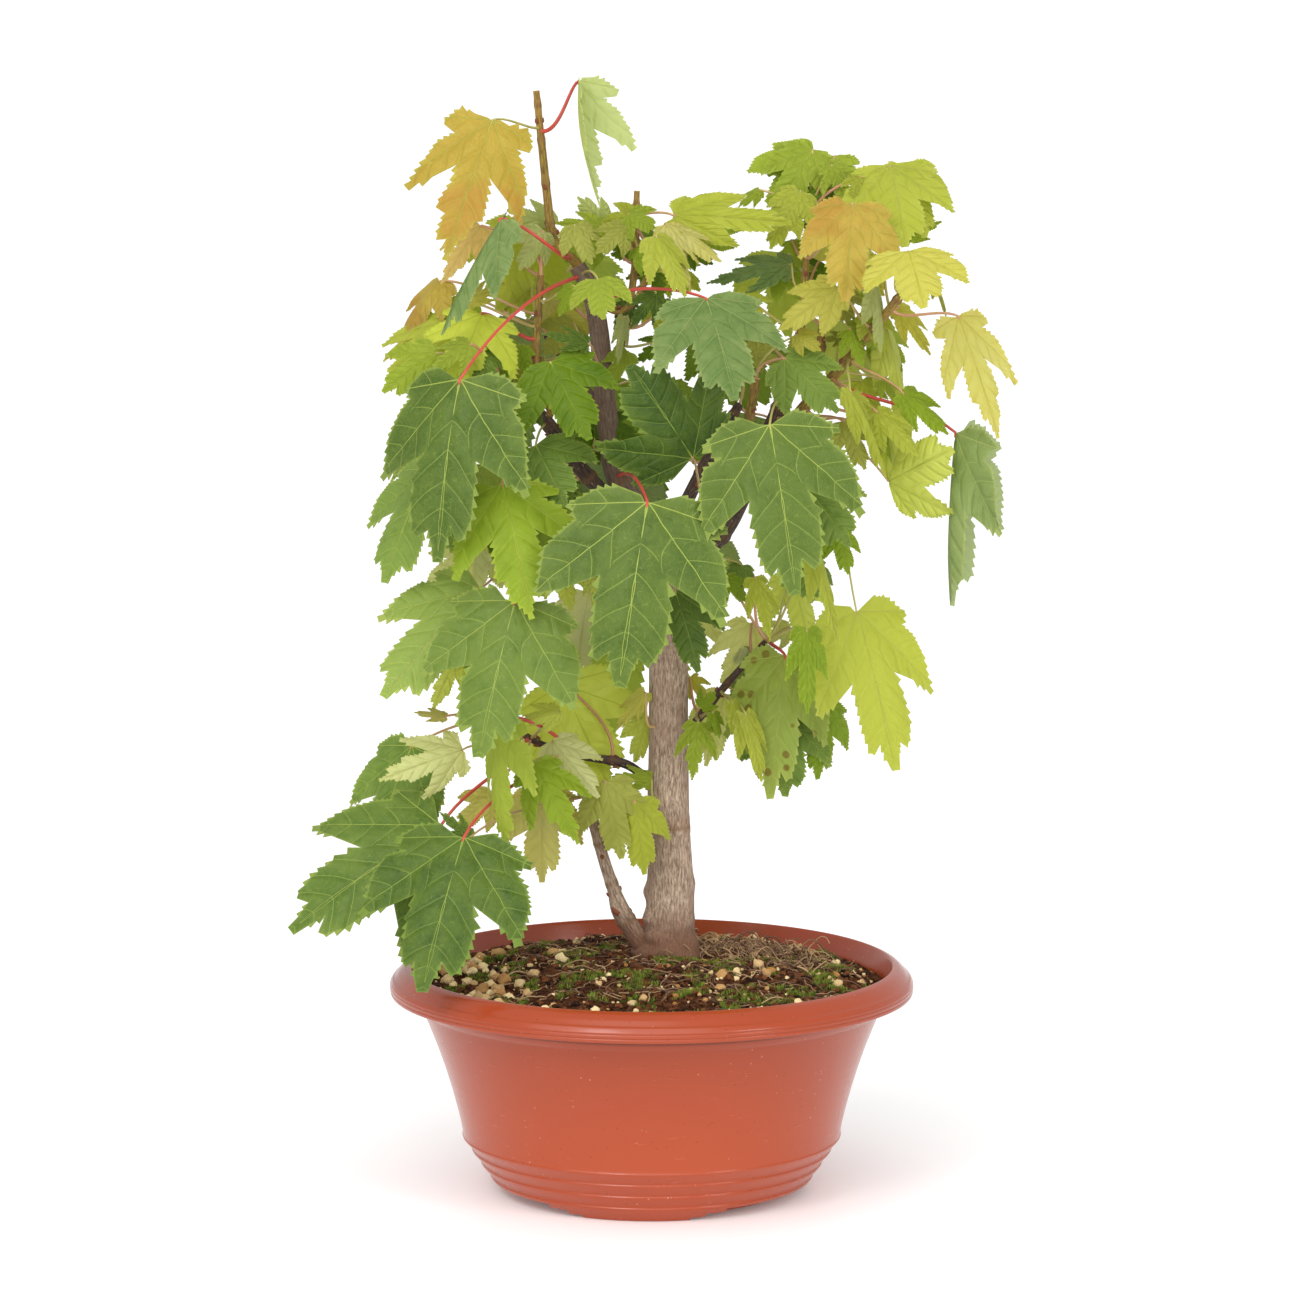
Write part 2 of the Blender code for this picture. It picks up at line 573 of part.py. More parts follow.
def leaf_mesh(name, leaf, sway, points):
    """Blade and stalk of one leaf as a single sheet."""
    base = plant_place(leaf.base) + sway
    tip = base + (Vector(leaf.tip) - Vector(leaf.base)) * MM * LEAF_SIZE
    arch = math.radians(leaf.arch)
    fold = math.radians(leaf.fold)
    chord = (tip - base).length
    length = chord * (arch / 2) / math.sin(arch / 2)
    turn = leaf_frame(base, tip, math.radians(leaf.facing), arch)
    flat, faces, edge_count = blade_sheet(length, leaf.width)
    verts = [base + turn @ bent(point, length, fold, arch) for point in flat]
    root, away = branch_off(points, leaf.along, base, STALK_WIDTH / 2)
    foot = root + away * STALK_FOOT
    span = (base - foot).length
    rise = Vector((0, 0, STALK_RISE * span))
    first = foot + away * STALK_REACH * span + rise / 2
    last = base - (base - foot) * STALK_REACH + rise
    side = turn @ Vector((1, 0, 0))
    row = (edge_count - 1, 0)
    curve = [stalk_point((foot, first, last, base), step / STALK_STEPS)
             for step in range(STALK_STEPS - 1, -1, -1)]
    for centre, heading in curve + [(root, away)]:
        side = (side - heading * side.dot(heading)).normalized()
        verts += [centre - side * STALK_WIDTH / 2, centre + side * STALK_WIDTH / 2]
        fresh = (len(verts) - 2, len(verts) - 1)
        faces.append([row[1], row[0], fresh[0], fresh[1]])
        row = fresh
    mesh = bpy.data.meshes.new(name)
    mesh.from_pydata(verts, [], faces)
    return mesh


def stalk_point(handles, share):
    """Point and direction on a stalk's curve."""
    a, b, c, d = handles
    rest = 1 - share
    centre = a * rest ** 3 + b * 3 * rest * rest * share + c * 3 * rest * share * share
    centre = centre + d * share ** 3
    heading = (b - a) * rest * rest + (c - b) * 2 * rest * share + (d - c) * share * share
    return centre, heading.normalized()


def solid_tree(item):
    """Search tree of an object's finished surface."""
    graph = bpy.context.evaluated_depsgraph_get()
    finished = item.evaluated_get(graph)
    mesh = finished.to_mesh()
    verts = [item.matrix_world @ vert.co for vert in mesh.vertices]
    faces = [tuple(face.vertices) for face in mesh.polygons]
    tree = BVHTree.FromPolygons(verts, faces)
    finished.to_mesh_clear()
    return tree


def sways(facing):
    """Shifts to try for a leaf, the smallest first: out, in, to both sides, up and down."""
    look = math.radians(facing)
    outwards = Vector((math.cos(look), math.sin(look), 0))
    sideways = Vector((-outwards.y, outwards.x, 0))
    upwards = Vector((0, 0, 1))
    yield Vector()
    for step in range(1, SWAY_STEPS + 1):
        for way in (outwards, -outwards, sideways, -sideways, upwards, -upwards):
            yield way * step * SWAY_STEP


def make_leaf(leaf, points, collection, material, neighbours):
    """Hang one leaf; it sways until it is clear of what is already there."""
    item = add_object(leaf.name, leaf_mesh(leaf.name, leaf, Vector(), points), collection)
    solid = item.modifiers.new("thickness", "SOLIDIFY")
    solid.offset = 0
    solid.thickness = LEAF_THICKNESS + 2 * CLEARANCE
    for sway in sways(leaf.facing):
        old = item.data
        item.data = leaf_mesh(leaf.name, leaf, sway, points)
        bpy.data.meshes.remove(old)
        tree = solid_tree(item)
        if not any(tree.overlap(other) for other in neighbours):
            break
    solid.thickness = LEAF_THICKNESS
    item.data.name = leaf.name
    item.data.materials.append(material)
    neighbours.append(solid_tree(item))
    return item


def main():
    clear_scene()
    collection = new_collection("maple_bonsai")
    cutters = new_collection("cutters")
    neighbours = [solid_tree(make_bowl(collection, cutters))]
    neighbours.append(solid_tree(make_soil(collection, cutters)))
    grown, pieces = make_tree(collection)
    neighbours += [solid_tree(piece) for piece in pieces]
    tones = {name: finish(f"leaf_{name}", colour, 0.5) for name, colour in LEAF_TONES.items()}
    for leaf in LEAVES:
        make_leaf(leaf, grown[leaf.twig], collection, tones[leaf.tone], neighbours)


main()
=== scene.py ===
"""The looks of a maple bonsai in a round terracotta-coloured plastic bowl.

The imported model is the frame: it gives the bowl's size, the soil's height and the foot of the
tree. Plant places are (x, y, height): x and y from the bowl's axis and height from the foot of
the tree, in millimetres, as the part has them.
"""

import json
import math
import random
from collections import namedtuple

import bpy
from mathutils import Matrix, Vector, noise
from mathutils.geometry import delaunay_2d_cdt

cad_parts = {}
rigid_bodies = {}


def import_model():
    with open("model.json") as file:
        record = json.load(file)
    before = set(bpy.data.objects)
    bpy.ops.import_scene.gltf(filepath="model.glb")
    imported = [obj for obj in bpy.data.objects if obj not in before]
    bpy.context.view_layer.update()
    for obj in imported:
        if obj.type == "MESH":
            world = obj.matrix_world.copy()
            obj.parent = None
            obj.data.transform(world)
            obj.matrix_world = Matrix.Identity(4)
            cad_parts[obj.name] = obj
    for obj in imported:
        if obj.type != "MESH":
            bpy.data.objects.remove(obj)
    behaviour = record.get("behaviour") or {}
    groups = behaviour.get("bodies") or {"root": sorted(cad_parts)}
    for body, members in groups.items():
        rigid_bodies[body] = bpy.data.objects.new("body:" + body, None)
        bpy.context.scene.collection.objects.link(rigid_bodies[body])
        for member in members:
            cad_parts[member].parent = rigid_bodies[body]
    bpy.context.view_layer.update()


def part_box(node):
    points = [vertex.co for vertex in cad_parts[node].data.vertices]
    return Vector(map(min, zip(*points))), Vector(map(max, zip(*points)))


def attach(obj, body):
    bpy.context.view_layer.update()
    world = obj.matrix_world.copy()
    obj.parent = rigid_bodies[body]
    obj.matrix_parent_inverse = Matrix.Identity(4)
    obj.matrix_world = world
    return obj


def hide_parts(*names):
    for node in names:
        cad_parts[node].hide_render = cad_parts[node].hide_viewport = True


MM = 0.001

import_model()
bpy.ops.object.select_all(action="DESELECT")

# Measures that the frame gives
RIM_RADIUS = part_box("bowl")[1].x
BOWL_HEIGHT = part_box("bowl")[1].z
TRUNK_BURIED = 12 * MM
TREE_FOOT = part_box("trunk")[0].z + TRUNK_BURIED
SOIL_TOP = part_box("soil")[1].z

# Bowl, as the part has it
WALL = 2.2 * MM
LIP_RADIUS = RIM_RADIUS - 10 * MM
BODY_TOP = BOWL_HEIGHT - 14 * MM
BODY_RADIUS = RIM_RADIUS - 12.5 * MM
RING_COUNT = 4
RING_PITCH = 6.5 * MM
RING_TOP = 1 * MM + RING_COUNT * RING_PITCH
RING_RADIUS = BODY_RADIUS - 22.5 * MM
RING_INSET = 17.5 * MM
BASE_LIFT = 2 * MM
FOOT_RADIUS = RING_RADIUS - RING_INSET - 1 * MM
FOOT_TURN = math.radians(-96)
FOOT_STEPS = ((25 * MM, 1.6 * MM), (31.5 * MM, 3.4 * MM), (39.5 * MM, 5.4 * MM))
FOOT_COUNT = 3
NOTCH_SEGMENTS = 32
NOTCH_DEPTH = 4 * MM
NOTCH_STAGGER = 0.3 * MM
DRAIN_COUNT = 6
DRAIN_RADIUS = 4.5 * MM
DRAIN_CIRCLE = 42 * MM
TURNED_SEGMENTS = 192

# Soil: its edge, how far it stays from the lip, and how much lies loose on it
SOIL_EDGE = BOWL_HEIGHT - 10 * MM
SOIL_CROWN = SOIL_TOP - 3.5 * MM
SOIL_RADIUS = LIP_RADIUS - 5 * MM
SOIL_RINGS = 90
GRIT_COUNT = 5200
SCATTERED_PEBBLES = 85
HEAPED_PEBBLES = 42
SMALL_PEBBLES = 380
MOSS_COUNT = 3600
MOSS_BLADES = 6
ROOT_COUNT = 820
MATTED_ROOTS = 340
ROOT_STEP = 3 * MM

# Leaves, as the part has them
STALK_STEPS = 12
STALK_SIDES = 6
STALK_RADIUS = 0.65 * MM
LEAF_THICKNESS = 0.35 * MM
LEAF_LIFT = 0.35
STALK_RISE = 0.12
STALK_REACH = 0.3
STALK_CLIMB = 11 * MM

# A blade's veins: where one lobe ends and the next starts, and which way their veins run
LOBE_SPLITS = (0.36, 1.08)
LATERAL_ANGLE = 0.757
BASAL_ANGLE = 1.43

# A blade's own map, in shares of its length
MAP_SPAN = 1.2
MAP_LEFT = 0.6
MAP_LOW = 0.1
BLADE_VARIANTS = 5
INNER_SPACING = 0.06

# Wood: its rings' spacing and the heights between which the trunk's bark changes its tone
RING_STEP = 2 * MM
TRUNK_SIDES = 40
BRANCH_SIDES = 20
CROWN_BARK = (TREE_FOOT + 0.17, TREE_FOOT + 0.21)
FOOT_BARK = (TREE_FOOT + 0.034, TREE_FOOT + 0.01)

# Camera
CAMERA_PLACE = (-0.0008, -2.4774, 0.5950)
CAMERA_TILT = math.radians(82.29)
CAMERA_LENS = 146.2

Wood = namedtuple("Wood", "name parent along points bark")
Leaf = namedtuple("Leaf", "name twig along base tip facing width fold arch look shape",
                  defaults=("broad",))
InnerLeaf = namedtuple("InnerLeaf", "base tip facing look width fold", defaults=(1, 15))


# Shader maths

def rgb(red, green, blue):
    """A screen colour from 0 to 255 as the linear colour that a socket takes."""
    def linear(value):
        share = value / 255
        return share / 12.92 if share <= 0.04045 else ((share + 0.055) / 1.055) ** 2.4
    return (linear(red), linear(green), linear(blue), 1)


class Field:
    """A shader socket that takes part in sums, each of which adds a Math node."""

    def __init__(self, paint, socket):
        self.paint = paint
        self.socket = socket

    def __add__(self, other):
        return self.paint.math("ADD", self, other)

    __radd__ = __add__

    def __sub__(self, other):
        return self.paint.math("SUBTRACT", self, other)

    def __rsub__(self, other):
        return self.paint.math("SUBTRACT", other, self)

    def __mul__(self, other):
        return self.paint.math("MULTIPLY", self, other)

    def __truediv__(self, other):
        return self.paint.math("DIVIDE", self, other)


class Paint:
    """The nodes of one material."""

    def __init__(self, name, roughness=0.5):
        self.material = bpy.data.materials.new(name)
        self.material.use_nodes = True
        self.tree = self.material.node_tree
        self.shader = self.tree.nodes["Principled BSDF"]
        self.set("Roughness", roughness)

    def set(self, socket, value):
        """Give one of the shader's own sockets a value or a link."""
        self.feed(self.shader.inputs[socket], value)

    def feed(self, socket, value):
        if isinstance(value, Field):
            self.tree.links.new(value.socket, socket)
        else:
            socket.default_value = value

    def add(self, kind, settings, inputs, output=0):
        """Add any node: its settings first, then the values or links of its sockets."""
        node = self.tree.nodes.new("ShaderNode" + kind)
        for name, value in settings.items():
            setattr(node, name, value)
        for name, value in inputs.items():
            self.feed(node.inputs[name], value)
        return Field(self, node.outputs[output])

    def math(self, operation, *values):
        return self.add("Math", {"operation": operation}, dict(enumerate(values)))

    def between(self, value, low, high):
        """0 below low, 1 above high, and smooth from one to the other."""
        inputs = {"Value": value, "From Min": low, "From Max": high}
        return self.add("MapRange", {"interpolation_type": "SMOOTHSTEP"}, inputs)

    def mix(self, share, first, second):
        """A colour between two colours."""
        return self.add("Mix", {"data_type": "RGBA"}, {0: share, 6: first, 7: second}, 2)

    def own(self):
        """The piece's own coordinates, in metres."""
        return self.add("TexCoord", {}, {}, "Object")

    def axis(self, place, number):
        """One of a place's three coordinates."""
        return self.add("SeparateXYZ", {}, {0: place}, number)

    def attribute(self, name, output="Fac"):
        return self.add("Attribute", {"attribute_name": name}, {}, output)

    def scaled(self, place, scale):
        return self.add("Mapping", {}, {"Vector": place, "Scale": scale})

    def noise(self, place, scale, detail=3, roughness=0.5):
        inputs = {"Vector": place, "Scale": scale, "Detail": detail, "Roughness": roughness}
        return self.add("TexNoise", {}, inputs)

    def cells(self, place, scale, feature="F1"):
        """How far a place is from its cell's point, or from its cell's edge."""
        inputs = {"Vector": place, "Scale": scale}
        return self.add("TexVoronoi", {"feature": feature}, inputs, "Distance")

    def bump(self, height, distance, strength=1):
        inputs = {"Height": height, "Distance": distance, "Strength": strength}
        self.set("Normal", self.add("Bump", {}, inputs))


# Finishes

def plastic_finish():
    """Terracotta-coloured moulded plastic: satin, scuffed, with painted shade towards the rim."""
    paint = Paint("terracotta_plastic")
    place = paint.own()
    clouds = paint.noise(place, 14, 4)
    colour = paint.mix(clouds, rgb(158, 61, 25), rgb(167, 69, 31))
    scuffs = paint.noise(paint.scaled(place, (1, 1, 7)), 60, 6, 0.7)
    scuffs = paint.between(scuffs, 0.62, 0.72)
    colour = paint.mix(scuffs * 0.08, colour, rgb(222, 150, 125))
    specks = paint.between(paint.cells(place, 240), 0.13, 0.07)
    rare = paint.between(paint.noise(place, 45), 0.56, 0.62)
    colour = paint.mix(specks * rare * 0.3, colour, rgb(236, 196, 178))
    grime = paint.between(paint.cells(paint.scaled(place, (1, 1, 1.1)), 190), 0.1, 0.06)
    colour = paint.mix(grime * paint.between(rare, 1, 0.4) * 0.5, colour, rgb(84, 28, 14))
    height = paint.axis(place, 2)
    # Painted shade: the wall grows darker from low down up towards the rim
    painted_rim_shade = paint.between(height, 0.3 * BODY_TOP, BODY_TOP)
    colour = paint.mix(painted_rim_shade * 0.28, colour, rgb(116, 38, 18))
    # Painted shadow: a dark band on the wall just under the rim, where the rim shades it
    tucked = paint.between(height, BODY_TOP - 3.6 * MM, BODY_TOP - 1.4 * MM)
    tucked = tucked * paint.between(height, BODY_TOP + 0.4 * MM, BODY_TOP)
    colour = paint.mix(tucked * 0.8, colour, rgb(46, 14, 8))
    paint.set("Base Color", colour)
    paint.set("Roughness", 0.17 + clouds * 0.1 + scuffs * 0.15)
    paint.set("Specular IOR Level", 0.45)
    paint.bump(paint.noise(place, 700, 2) + scuffs * 0.3, 0.02 * MM, 0.5)
    return paint.material


def soil_finish():
    """Dark damp substrate, mottled with rust and with moss where it stays wet."""
    paint = Paint("soil", 0.95)
    place = paint.own()
    crumbs = paint.noise(place, 420, 6, 0.65)
    patches = paint.noise(place, 60, 3)
    colour = paint.mix(paint.between(crumbs, 0.3, 0.72), rgb(8, 5, 4), rgb(96, 57, 31))
    colour = paint.mix(paint.between(patches, 0.45, 0.6) * 0.4, colour, rgb(66, 34, 20))
    grains = paint.between(paint.cells(place, 260), 0.3, 0.15)
    picked = paint.between(paint.noise(place, 190, 2), 0.52, 0.6)
    colour = paint.mix(grains * picked * 0.6, colour, rgb(112, 80, 50))
    moss = paint.between(paint.noise(place, 38, 5, 0.7), 0.56, 0.66)
    colour = paint.mix(moss * 0.75, colour, paint.mix(crumbs, rgb(34, 38, 12), rgb(74, 82, 26)))
    paint.set("Base Color", colour)
    paint.set("Specular IOR Level", 0.08)
    paint.bump(crumbs + paint.noise(place, 1200, 4), 0.8 * MM)
    return paint.material


def grit_finish(name, dark, light):
    """Loose grains, each one of its own shade."""
    paint = Paint(name, 0.85)
    place = paint.own()
    colour = paint.mix(paint.attribute("shade"), dark, light)
    flecks = paint.noise(place, 900, 5, 0.7)
    colour = paint.mix(paint.between(flecks, 0.5, 0.75) * 0.45, colour, rgb(96, 62, 38))
    paint.set("Base Color", colour)
    paint.set("Specular IOR Level", 0.15)
    paint.bump(flecks, 0.3 * MM)
    return paint.material


def moss_finish():
    """Short moss, from dark at its foot to yellow-green at its tips."""
    paint = Paint("moss", 0.9)
    tips = paint.mix(paint.attribute("rise"), rgb(66, 88, 24), rgb(158, 174, 72))
    paint.set("Base Color", paint.mix(paint.attribute("shade"), rgb(36, 44, 14), tips))
    paint.set("Specular IOR Level", 0.1)
    return paint.material


def root_finish():
    """Fine roots, from rust-brown to pale tan."""
    paint = Paint("fine_roots", 0.8)
    colour = paint.mix(paint.attribute("shade"), rgb(74, 38, 22), rgb(206, 170, 124))
    colour = paint.mix(paint.noise(paint.own(), 300) * 0.5, colour, rgb(92, 62, 42))
    paint.set("Base Color", colour)
    return paint.material


def bark_finish(name, dark, light, streak, fine, crown=None, foot=None):
    """Bark streaked along the limb. The grain attribute is the limb laid out straight.

    The trunk's bark goes over to another tone up in the crown, and to a third at its foot. Fine
    is how deep the relief is and how strongly the pores show.
    """
    paint = Paint(name, 0.85)
    grain = paint.attribute("grain", "Vector")
    streaks = paint.noise(paint.scaled(grain, (1, 1, 0.22)), 1100, 5, 0.7)
    blotches = paint.noise(paint.scaled(grain, (1, 1, 0.4)), 70, 4)
    fissures = paint.cells(paint.scaled(grain, (1, 1, 0.09)), 900, "DISTANCE_TO_EDGE")
    pores = paint.between(paint.cells(paint.scaled(grain, (1, 1, 0.6)), 330), 0.16, 0.08)
    colour = paint.mix(paint.between(streaks, 0.3, 0.7), dark, light)
    colour = paint.mix(paint.between(blotches, 0.42, 0.62) * 0.45, colour, streak)
    colour = paint.mix(paint.between(fissures, 0.1, 0) * 0.22, colour, dark)
    colour = paint.mix(pores * 0.45 * fine, colour, rgb(206, 188, 160))
    if crown:
        height = paint.axis(paint.own(), 2)
        high = paint.between(height, *CROWN_BARK)
        colour = paint.mix(high * 0.7, colour, crown)
        low = paint.between(height + paint.noise(grain, 120) * 0.012, *FOOT_BARK)
        colour = paint.mix(low * 0.85, colour, foot)
    paint.set("Base Color", paint.mix(paint.attribute("scar"), colour, rgb(120, 84, 52)))
    paint.bump(streaks + paint.between(fissures, 0, 0.2) * 0.5 + pores * 0.3, 0.35 * MM * fine)
    return paint.material


def cut_finish():
    """Clipped wood, pale and mottled."""
    paint = Paint("cut_wood", 0.75)
    rings = paint.noise(paint.own(), 900, 4)
    paint.set("Base Color", paint.mix(rings, rgb(206, 168, 116), rgb(232, 208, 170)))
    return paint.material


def vein_fields(paint):
    """How much of a place is main vein, side vein or fine vein, and how far it swells between.

    The leaf's own map runs from its stalk: x across the blade and y along the midrib, in
    shares of its length. Each of the five lobes has its vein, and theta picks the lobe.
    """
    uv = paint.add("UVMap", {"uv_map": "blade"}, {})
    u = paint.axis(uv, 0) * MAP_SPAN - MAP_LEFT
    v = paint.axis(uv, 1) * MAP_SPAN - MAP_LOW
    wander = (paint.noise(uv, 5, 2) - 0.5) * 0.045
    across = paint.math("ABSOLUTE", u) + wander
    reach = paint.math("SQRT", across * across + v * v)
    theta = paint.math("ARCTAN2", across, v)
    lateral = paint.math("GREATER_THAN", theta, LOBE_SPLITS[0])
    basal = paint.math("GREATER_THAN", theta, LOBE_SPLITS[1])
    turn = theta - (lateral * LATERAL_ANGLE + basal * (BASAL_ANGLE - LATERAL_ANGLE))
    along = reach * paint.math("COSINE", turn)
    off = paint.math("ABSOLUTE", reach * paint.math("SINE", turn))
    main = paint.between(off / (0.0058 - along * 0.0038), 1, 0.45)
    step = (along - off * 0.6 - off * off * 1.6) / 0.15 + paint.noise(uv, 2.5, 1) * 0.9
    gap = (0.5 - paint.math("ABSOLUTE", paint.math("FRACT", step) - 0.5)) * 0.1
    side = paint.between(gap, 0.003, 0.0006) * paint.between(along, 0.1, 0.16)
    fine = paint.between(paint.cells(uv, 42, "DISTANCE_TO_EDGE"), 0.07, 0)
    swell = paint.between(off, 0, 0.05) * paint.between(gap, 0, 0.03)
    return main, side, fine, swell


def leaf_finish(look):
    """A thin leaf blade: pale veins, quilting between them and light that comes through."""
    paint = Paint(look.material, 0.48)
    upper, second, under, vein, glow = [rgb(*tone) for tone in look.tones]
    main, side, fine, swell = vein_fields(paint)
    place = paint.own()
    clouds = paint.noise(place, 70, 4, 0.6)
    clouds = paint.between(clouds * 0.75 + paint.attribute("shade") * 0.25, 0.34, 0.58)
    colour = paint.mix(clouds, upper, second)
    # Painted light and shade of the quilting: the puffs between the veins take the second tone, the
    # creases along the veins stay darker
    colour = paint.mix(swell * 0.3, colour, second)
    if look.blush:
        flush = paint.between(paint.noise(place, 32, 3), 0.45, 0.62)
        colour = paint.mix(flush * 0.7, colour, rgb(*look.blush))
    if look.spots:
        marks = paint.between(paint.cells(place, 130), 0.3, 0.24)
        marks = marks * paint.between(paint.noise(place, 60, 2), 0.44, 0.48)
        colour = paint.mix(marks * look.spots, colour, rgb(110, 62, 28))
    mottle = paint.noise(place, 420, 4)
    colour = paint.mix(paint.between(mottle, 0.35, 0.7) * 0.1, colour, under)
    colour = paint.mix(fine * 0.17, colour, vein)
    colour = paint.mix(side * 0.45, colour, vein)
    colour = paint.mix(main * 0.85, colour, vein)
    edge = paint.attribute("edge")
    colour = paint.mix(edge * 0.1 + paint.between(edge, 0.8, 1) * 0.35, colour, vein)
    back = paint.mix(main * 0.7 + side * 0.4, under, vein)
    paint.set("Base Color", paint.mix(paint.attribute("below"), colour, back))
    paint.set("Specular IOR Level", 0.28)
    height = swell * 0.7 + paint.between(fine, 1, 0) * 0.12 - main * 0.4 + mottle * 0.1
    paint.bump(height, 0.8 * MM, 0.9)
    opaque = Field(paint, paint.shader.outputs[0])
    light = paint.add("BsdfTranslucent", {}, {"Color": glow})
    both = paint.add("MixShader", {}, {0: look.thinness, 1: opaque, 2: light})
    paint.feed(paint.tree.nodes["Material Output"].inputs["Surface"], both)
    return paint.material


def stalk_finish():
    """Leaf stalks, from yellow-green by way of dull pink to red as their shade rises."""
    paint = Paint("leaf_stalks", 0.4)
    shade = paint.attribute("shade")
    red = paint.mix(paint.noise(paint.own(), 60), rgb(178, 50, 46), rgb(194, 84, 66))
    dull = paint.mix(paint.between(shade, 0, 0.5), rgb(166, 164, 82), rgb(190, 138, 104))
    paint.set("Base Color", paint.mix(paint.between(shade, 0.5, 1), dull, red))
    return paint.material


# Mesh work

def select_only(piece):
    bpy.ops.object.select_all(action="DESELECT")
    piece.select_set(True)
    bpy.context.view_layer.objects.active = piece


def mesh_piece(name, verts, faces, *materials):
    mesh = bpy.data.meshes.new(name)
    mesh.from_pydata(verts, [], faces)
    piece = bpy.data.objects.new(name, mesh)
    bpy.context.scene.collection.objects.link(piece)
    for material in materials:
        mesh.materials.append(material)
    return piece


def keep(piece, slot, *nodes):
    """Ride on the frame and stand for the part's nodes. The slot's name is not used."""
    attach(piece, "root")
    if nodes:
        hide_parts(*nodes)
    return piece


def smooth(piece, degrees):
    select_only(piece)
    bpy.ops.object.shade_smooth_by_angle(angle=math.radians(degrees))


def write_values(mesh, name, values):
    """Give every point of a mesh a number for its material."""
    layer = mesh.attributes.new(name, "FLOAT", "POINT")
    layer.data.foreach_set("value", values)


def write_places(mesh, name, places):
    """Give every point of a mesh a place for its material."""
    layer = mesh.attributes.new(name, "FLOAT_VECTOR", "POINT")
    layer.data.foreach_set("vector", [value for place in places for value in place])


def shifted(faces, first):
    """Faces renumbered to follow the points that are there already."""
    return [tuple(first + index for index in face) for face in faces]


def turned(name, profile):
    """A closed body, extruded ring by ring from a disc along a profile of (radius, height)."""
    radius, height = profile[0]
    bpy.ops.object.select_all(action="DESELECT")
    bpy.ops.mesh.primitive_circle_add(vertices=TURNED_SEGMENTS, radius=radius,
                                      fill_type="NGON", location=(0, 0, height))
    piece = bpy.context.active_object
    piece.name = name
    bpy.ops.object.mode_set(mode="EDIT")
    for (near, low), (far, high) in zip(profile, profile[1:]):
        bpy.ops.mesh.extrude_region_move(TRANSFORM_OT_translate={"value": (0, 0, high - low)})
        bpy.ops.transform.resize(value=(far / near, far / near, 1), center_override=(0, 0, 0))
    bpy.ops.mesh.select_all(action="SELECT")
    bpy.ops.mesh.normals_make_consistent(inside=False)
    bpy.ops.object.mode_set(mode="OBJECT")
    bpy.ops.object.transform_apply(location=True)
    return piece


def cut_away(piece, cutter):
    """Take a cutter out of a piece for good."""
    select_only(piece)
    boolean = piece.modifiers.new("cut", "BOOLEAN")
    boolean.operation = "DIFFERENCE"
    boolean.solver = "EXACT"
    boolean.object = cutter
    bpy.ops.object.modifier_apply(modifier=boolean.name)
    bpy.data.objects.remove(cutter)


def rounded(corners, reach, steps=4):
    """A profile with each inner corner rounded off over a reach."""
    points = [corners[0]]
    for before, corner, after in zip(corners, corners[1:], corners[2:]):
        here = Vector(corner)
        back = Vector(before) - here
        ahead = Vector(after) - here
        back = back.normalized() * min(reach, back.length * 0.45)
        ahead = ahead.normalized() * min(reach, ahead.length * 0.45)
        for step in range(steps + 1):
            share = step / steps
            spot = here + back * (1 - share) ** 2 + ahead * share ** 2
            points.append((spot.x, spot.y))
    points.append(corners[-1])
    return points


# Bowl

# Corners of the rim: how far in from its outer edge and how far down from the top, in millimetres
RIM_STEPS = (
    (10.6, 1.6), (9.8, 0), (6.8, 1.2), (4.4, 3.3), (2.2, 5.9), (1.4, 6.3), (0, 8.8), (0.5, 9.3),
    (0.1, 9.8), (0.1, 11), (0.6, 11.4), (0.2, 11.9), (0.5, 13.4), (2, 13.6), (3.4, 9.6), (10.1, 9),
    (11.9, 15),
)


def wall_radius(height):
    rise = (height - RING_TOP) / (BODY_TOP - RING_TOP)
    return RING_RADIUS + (BODY_RADIUS - RING_RADIUS) * rise * (0.6 + 0.4 * rise)


def ring_radius(height):
    return RING_RADIUS - RING_INSET * (RING_TOP - height) / (RING_TOP - 1 * MM)


def inner_wall(gap):
    """The bowl's inside from the floor's edge up, moved inwards by a gap."""
    floor = BASE_LIFT + WALL
    points = [(ring_radius(floor) - 14 * MM - gap, floor + gap)]
    for height in (floor + 4 * MM, (floor + 4 * MM + RING_TOP) / 2, RING_TOP):
        points.append((ring_radius(height) - WALL - 2 * MM - gap, height))
    for share in (0.25, 0.5, 0.75, 0.9):
        height = RING_TOP + share * (BODY_TOP - RING_TOP)
        points.append((wall_radius(height) - WALL - gap, height))
    return points


def rim_corners():
    """The rolled rim from its inner lip, over the top and down to its tucked-in foot."""
    return [(RIM_RADIUS - inwards * MM, BOWL_HEIGHT - down * MM) for inwards, down in RIM_STEPS]


def outside_corners():
    """The wall under the rim, its ridge, the stepped rings and the foot ring."""
    ridge = BODY_TOP - 5 * MM
    corners = [
        (wall_radius(ridge) + 0.8 * MM, ridge),
        (wall_radius(ridge - 0.9 * MM), ridge - 0.9 * MM),
    ]
    for share in (0.8, 0.65, 0.5, 0.35, 0.2, 0.1):
        height = RING_TOP + share * (BODY_TOP - RING_TOP)
        corners.append((wall_radius(height), height))
    for ring in range(RING_COUNT):
        height = RING_TOP - ring * RING_PITCH
        corners.append((ring_radius(height + 0.4 * MM), height + 0.4 * MM))
        corners.append((ring_radius(height) + 1 * MM, height - 0.4 * MM))
    corners += [
        (FOOT_RADIUS + 1 * MM, 1.5 * MM),
        (FOOT_RADIUS, 0),
        (FOOT_RADIUS - 3 * MM, 0),
        (FOOT_RADIUS - 3.4 * MM, BASE_LIFT),
    ]
    return corners


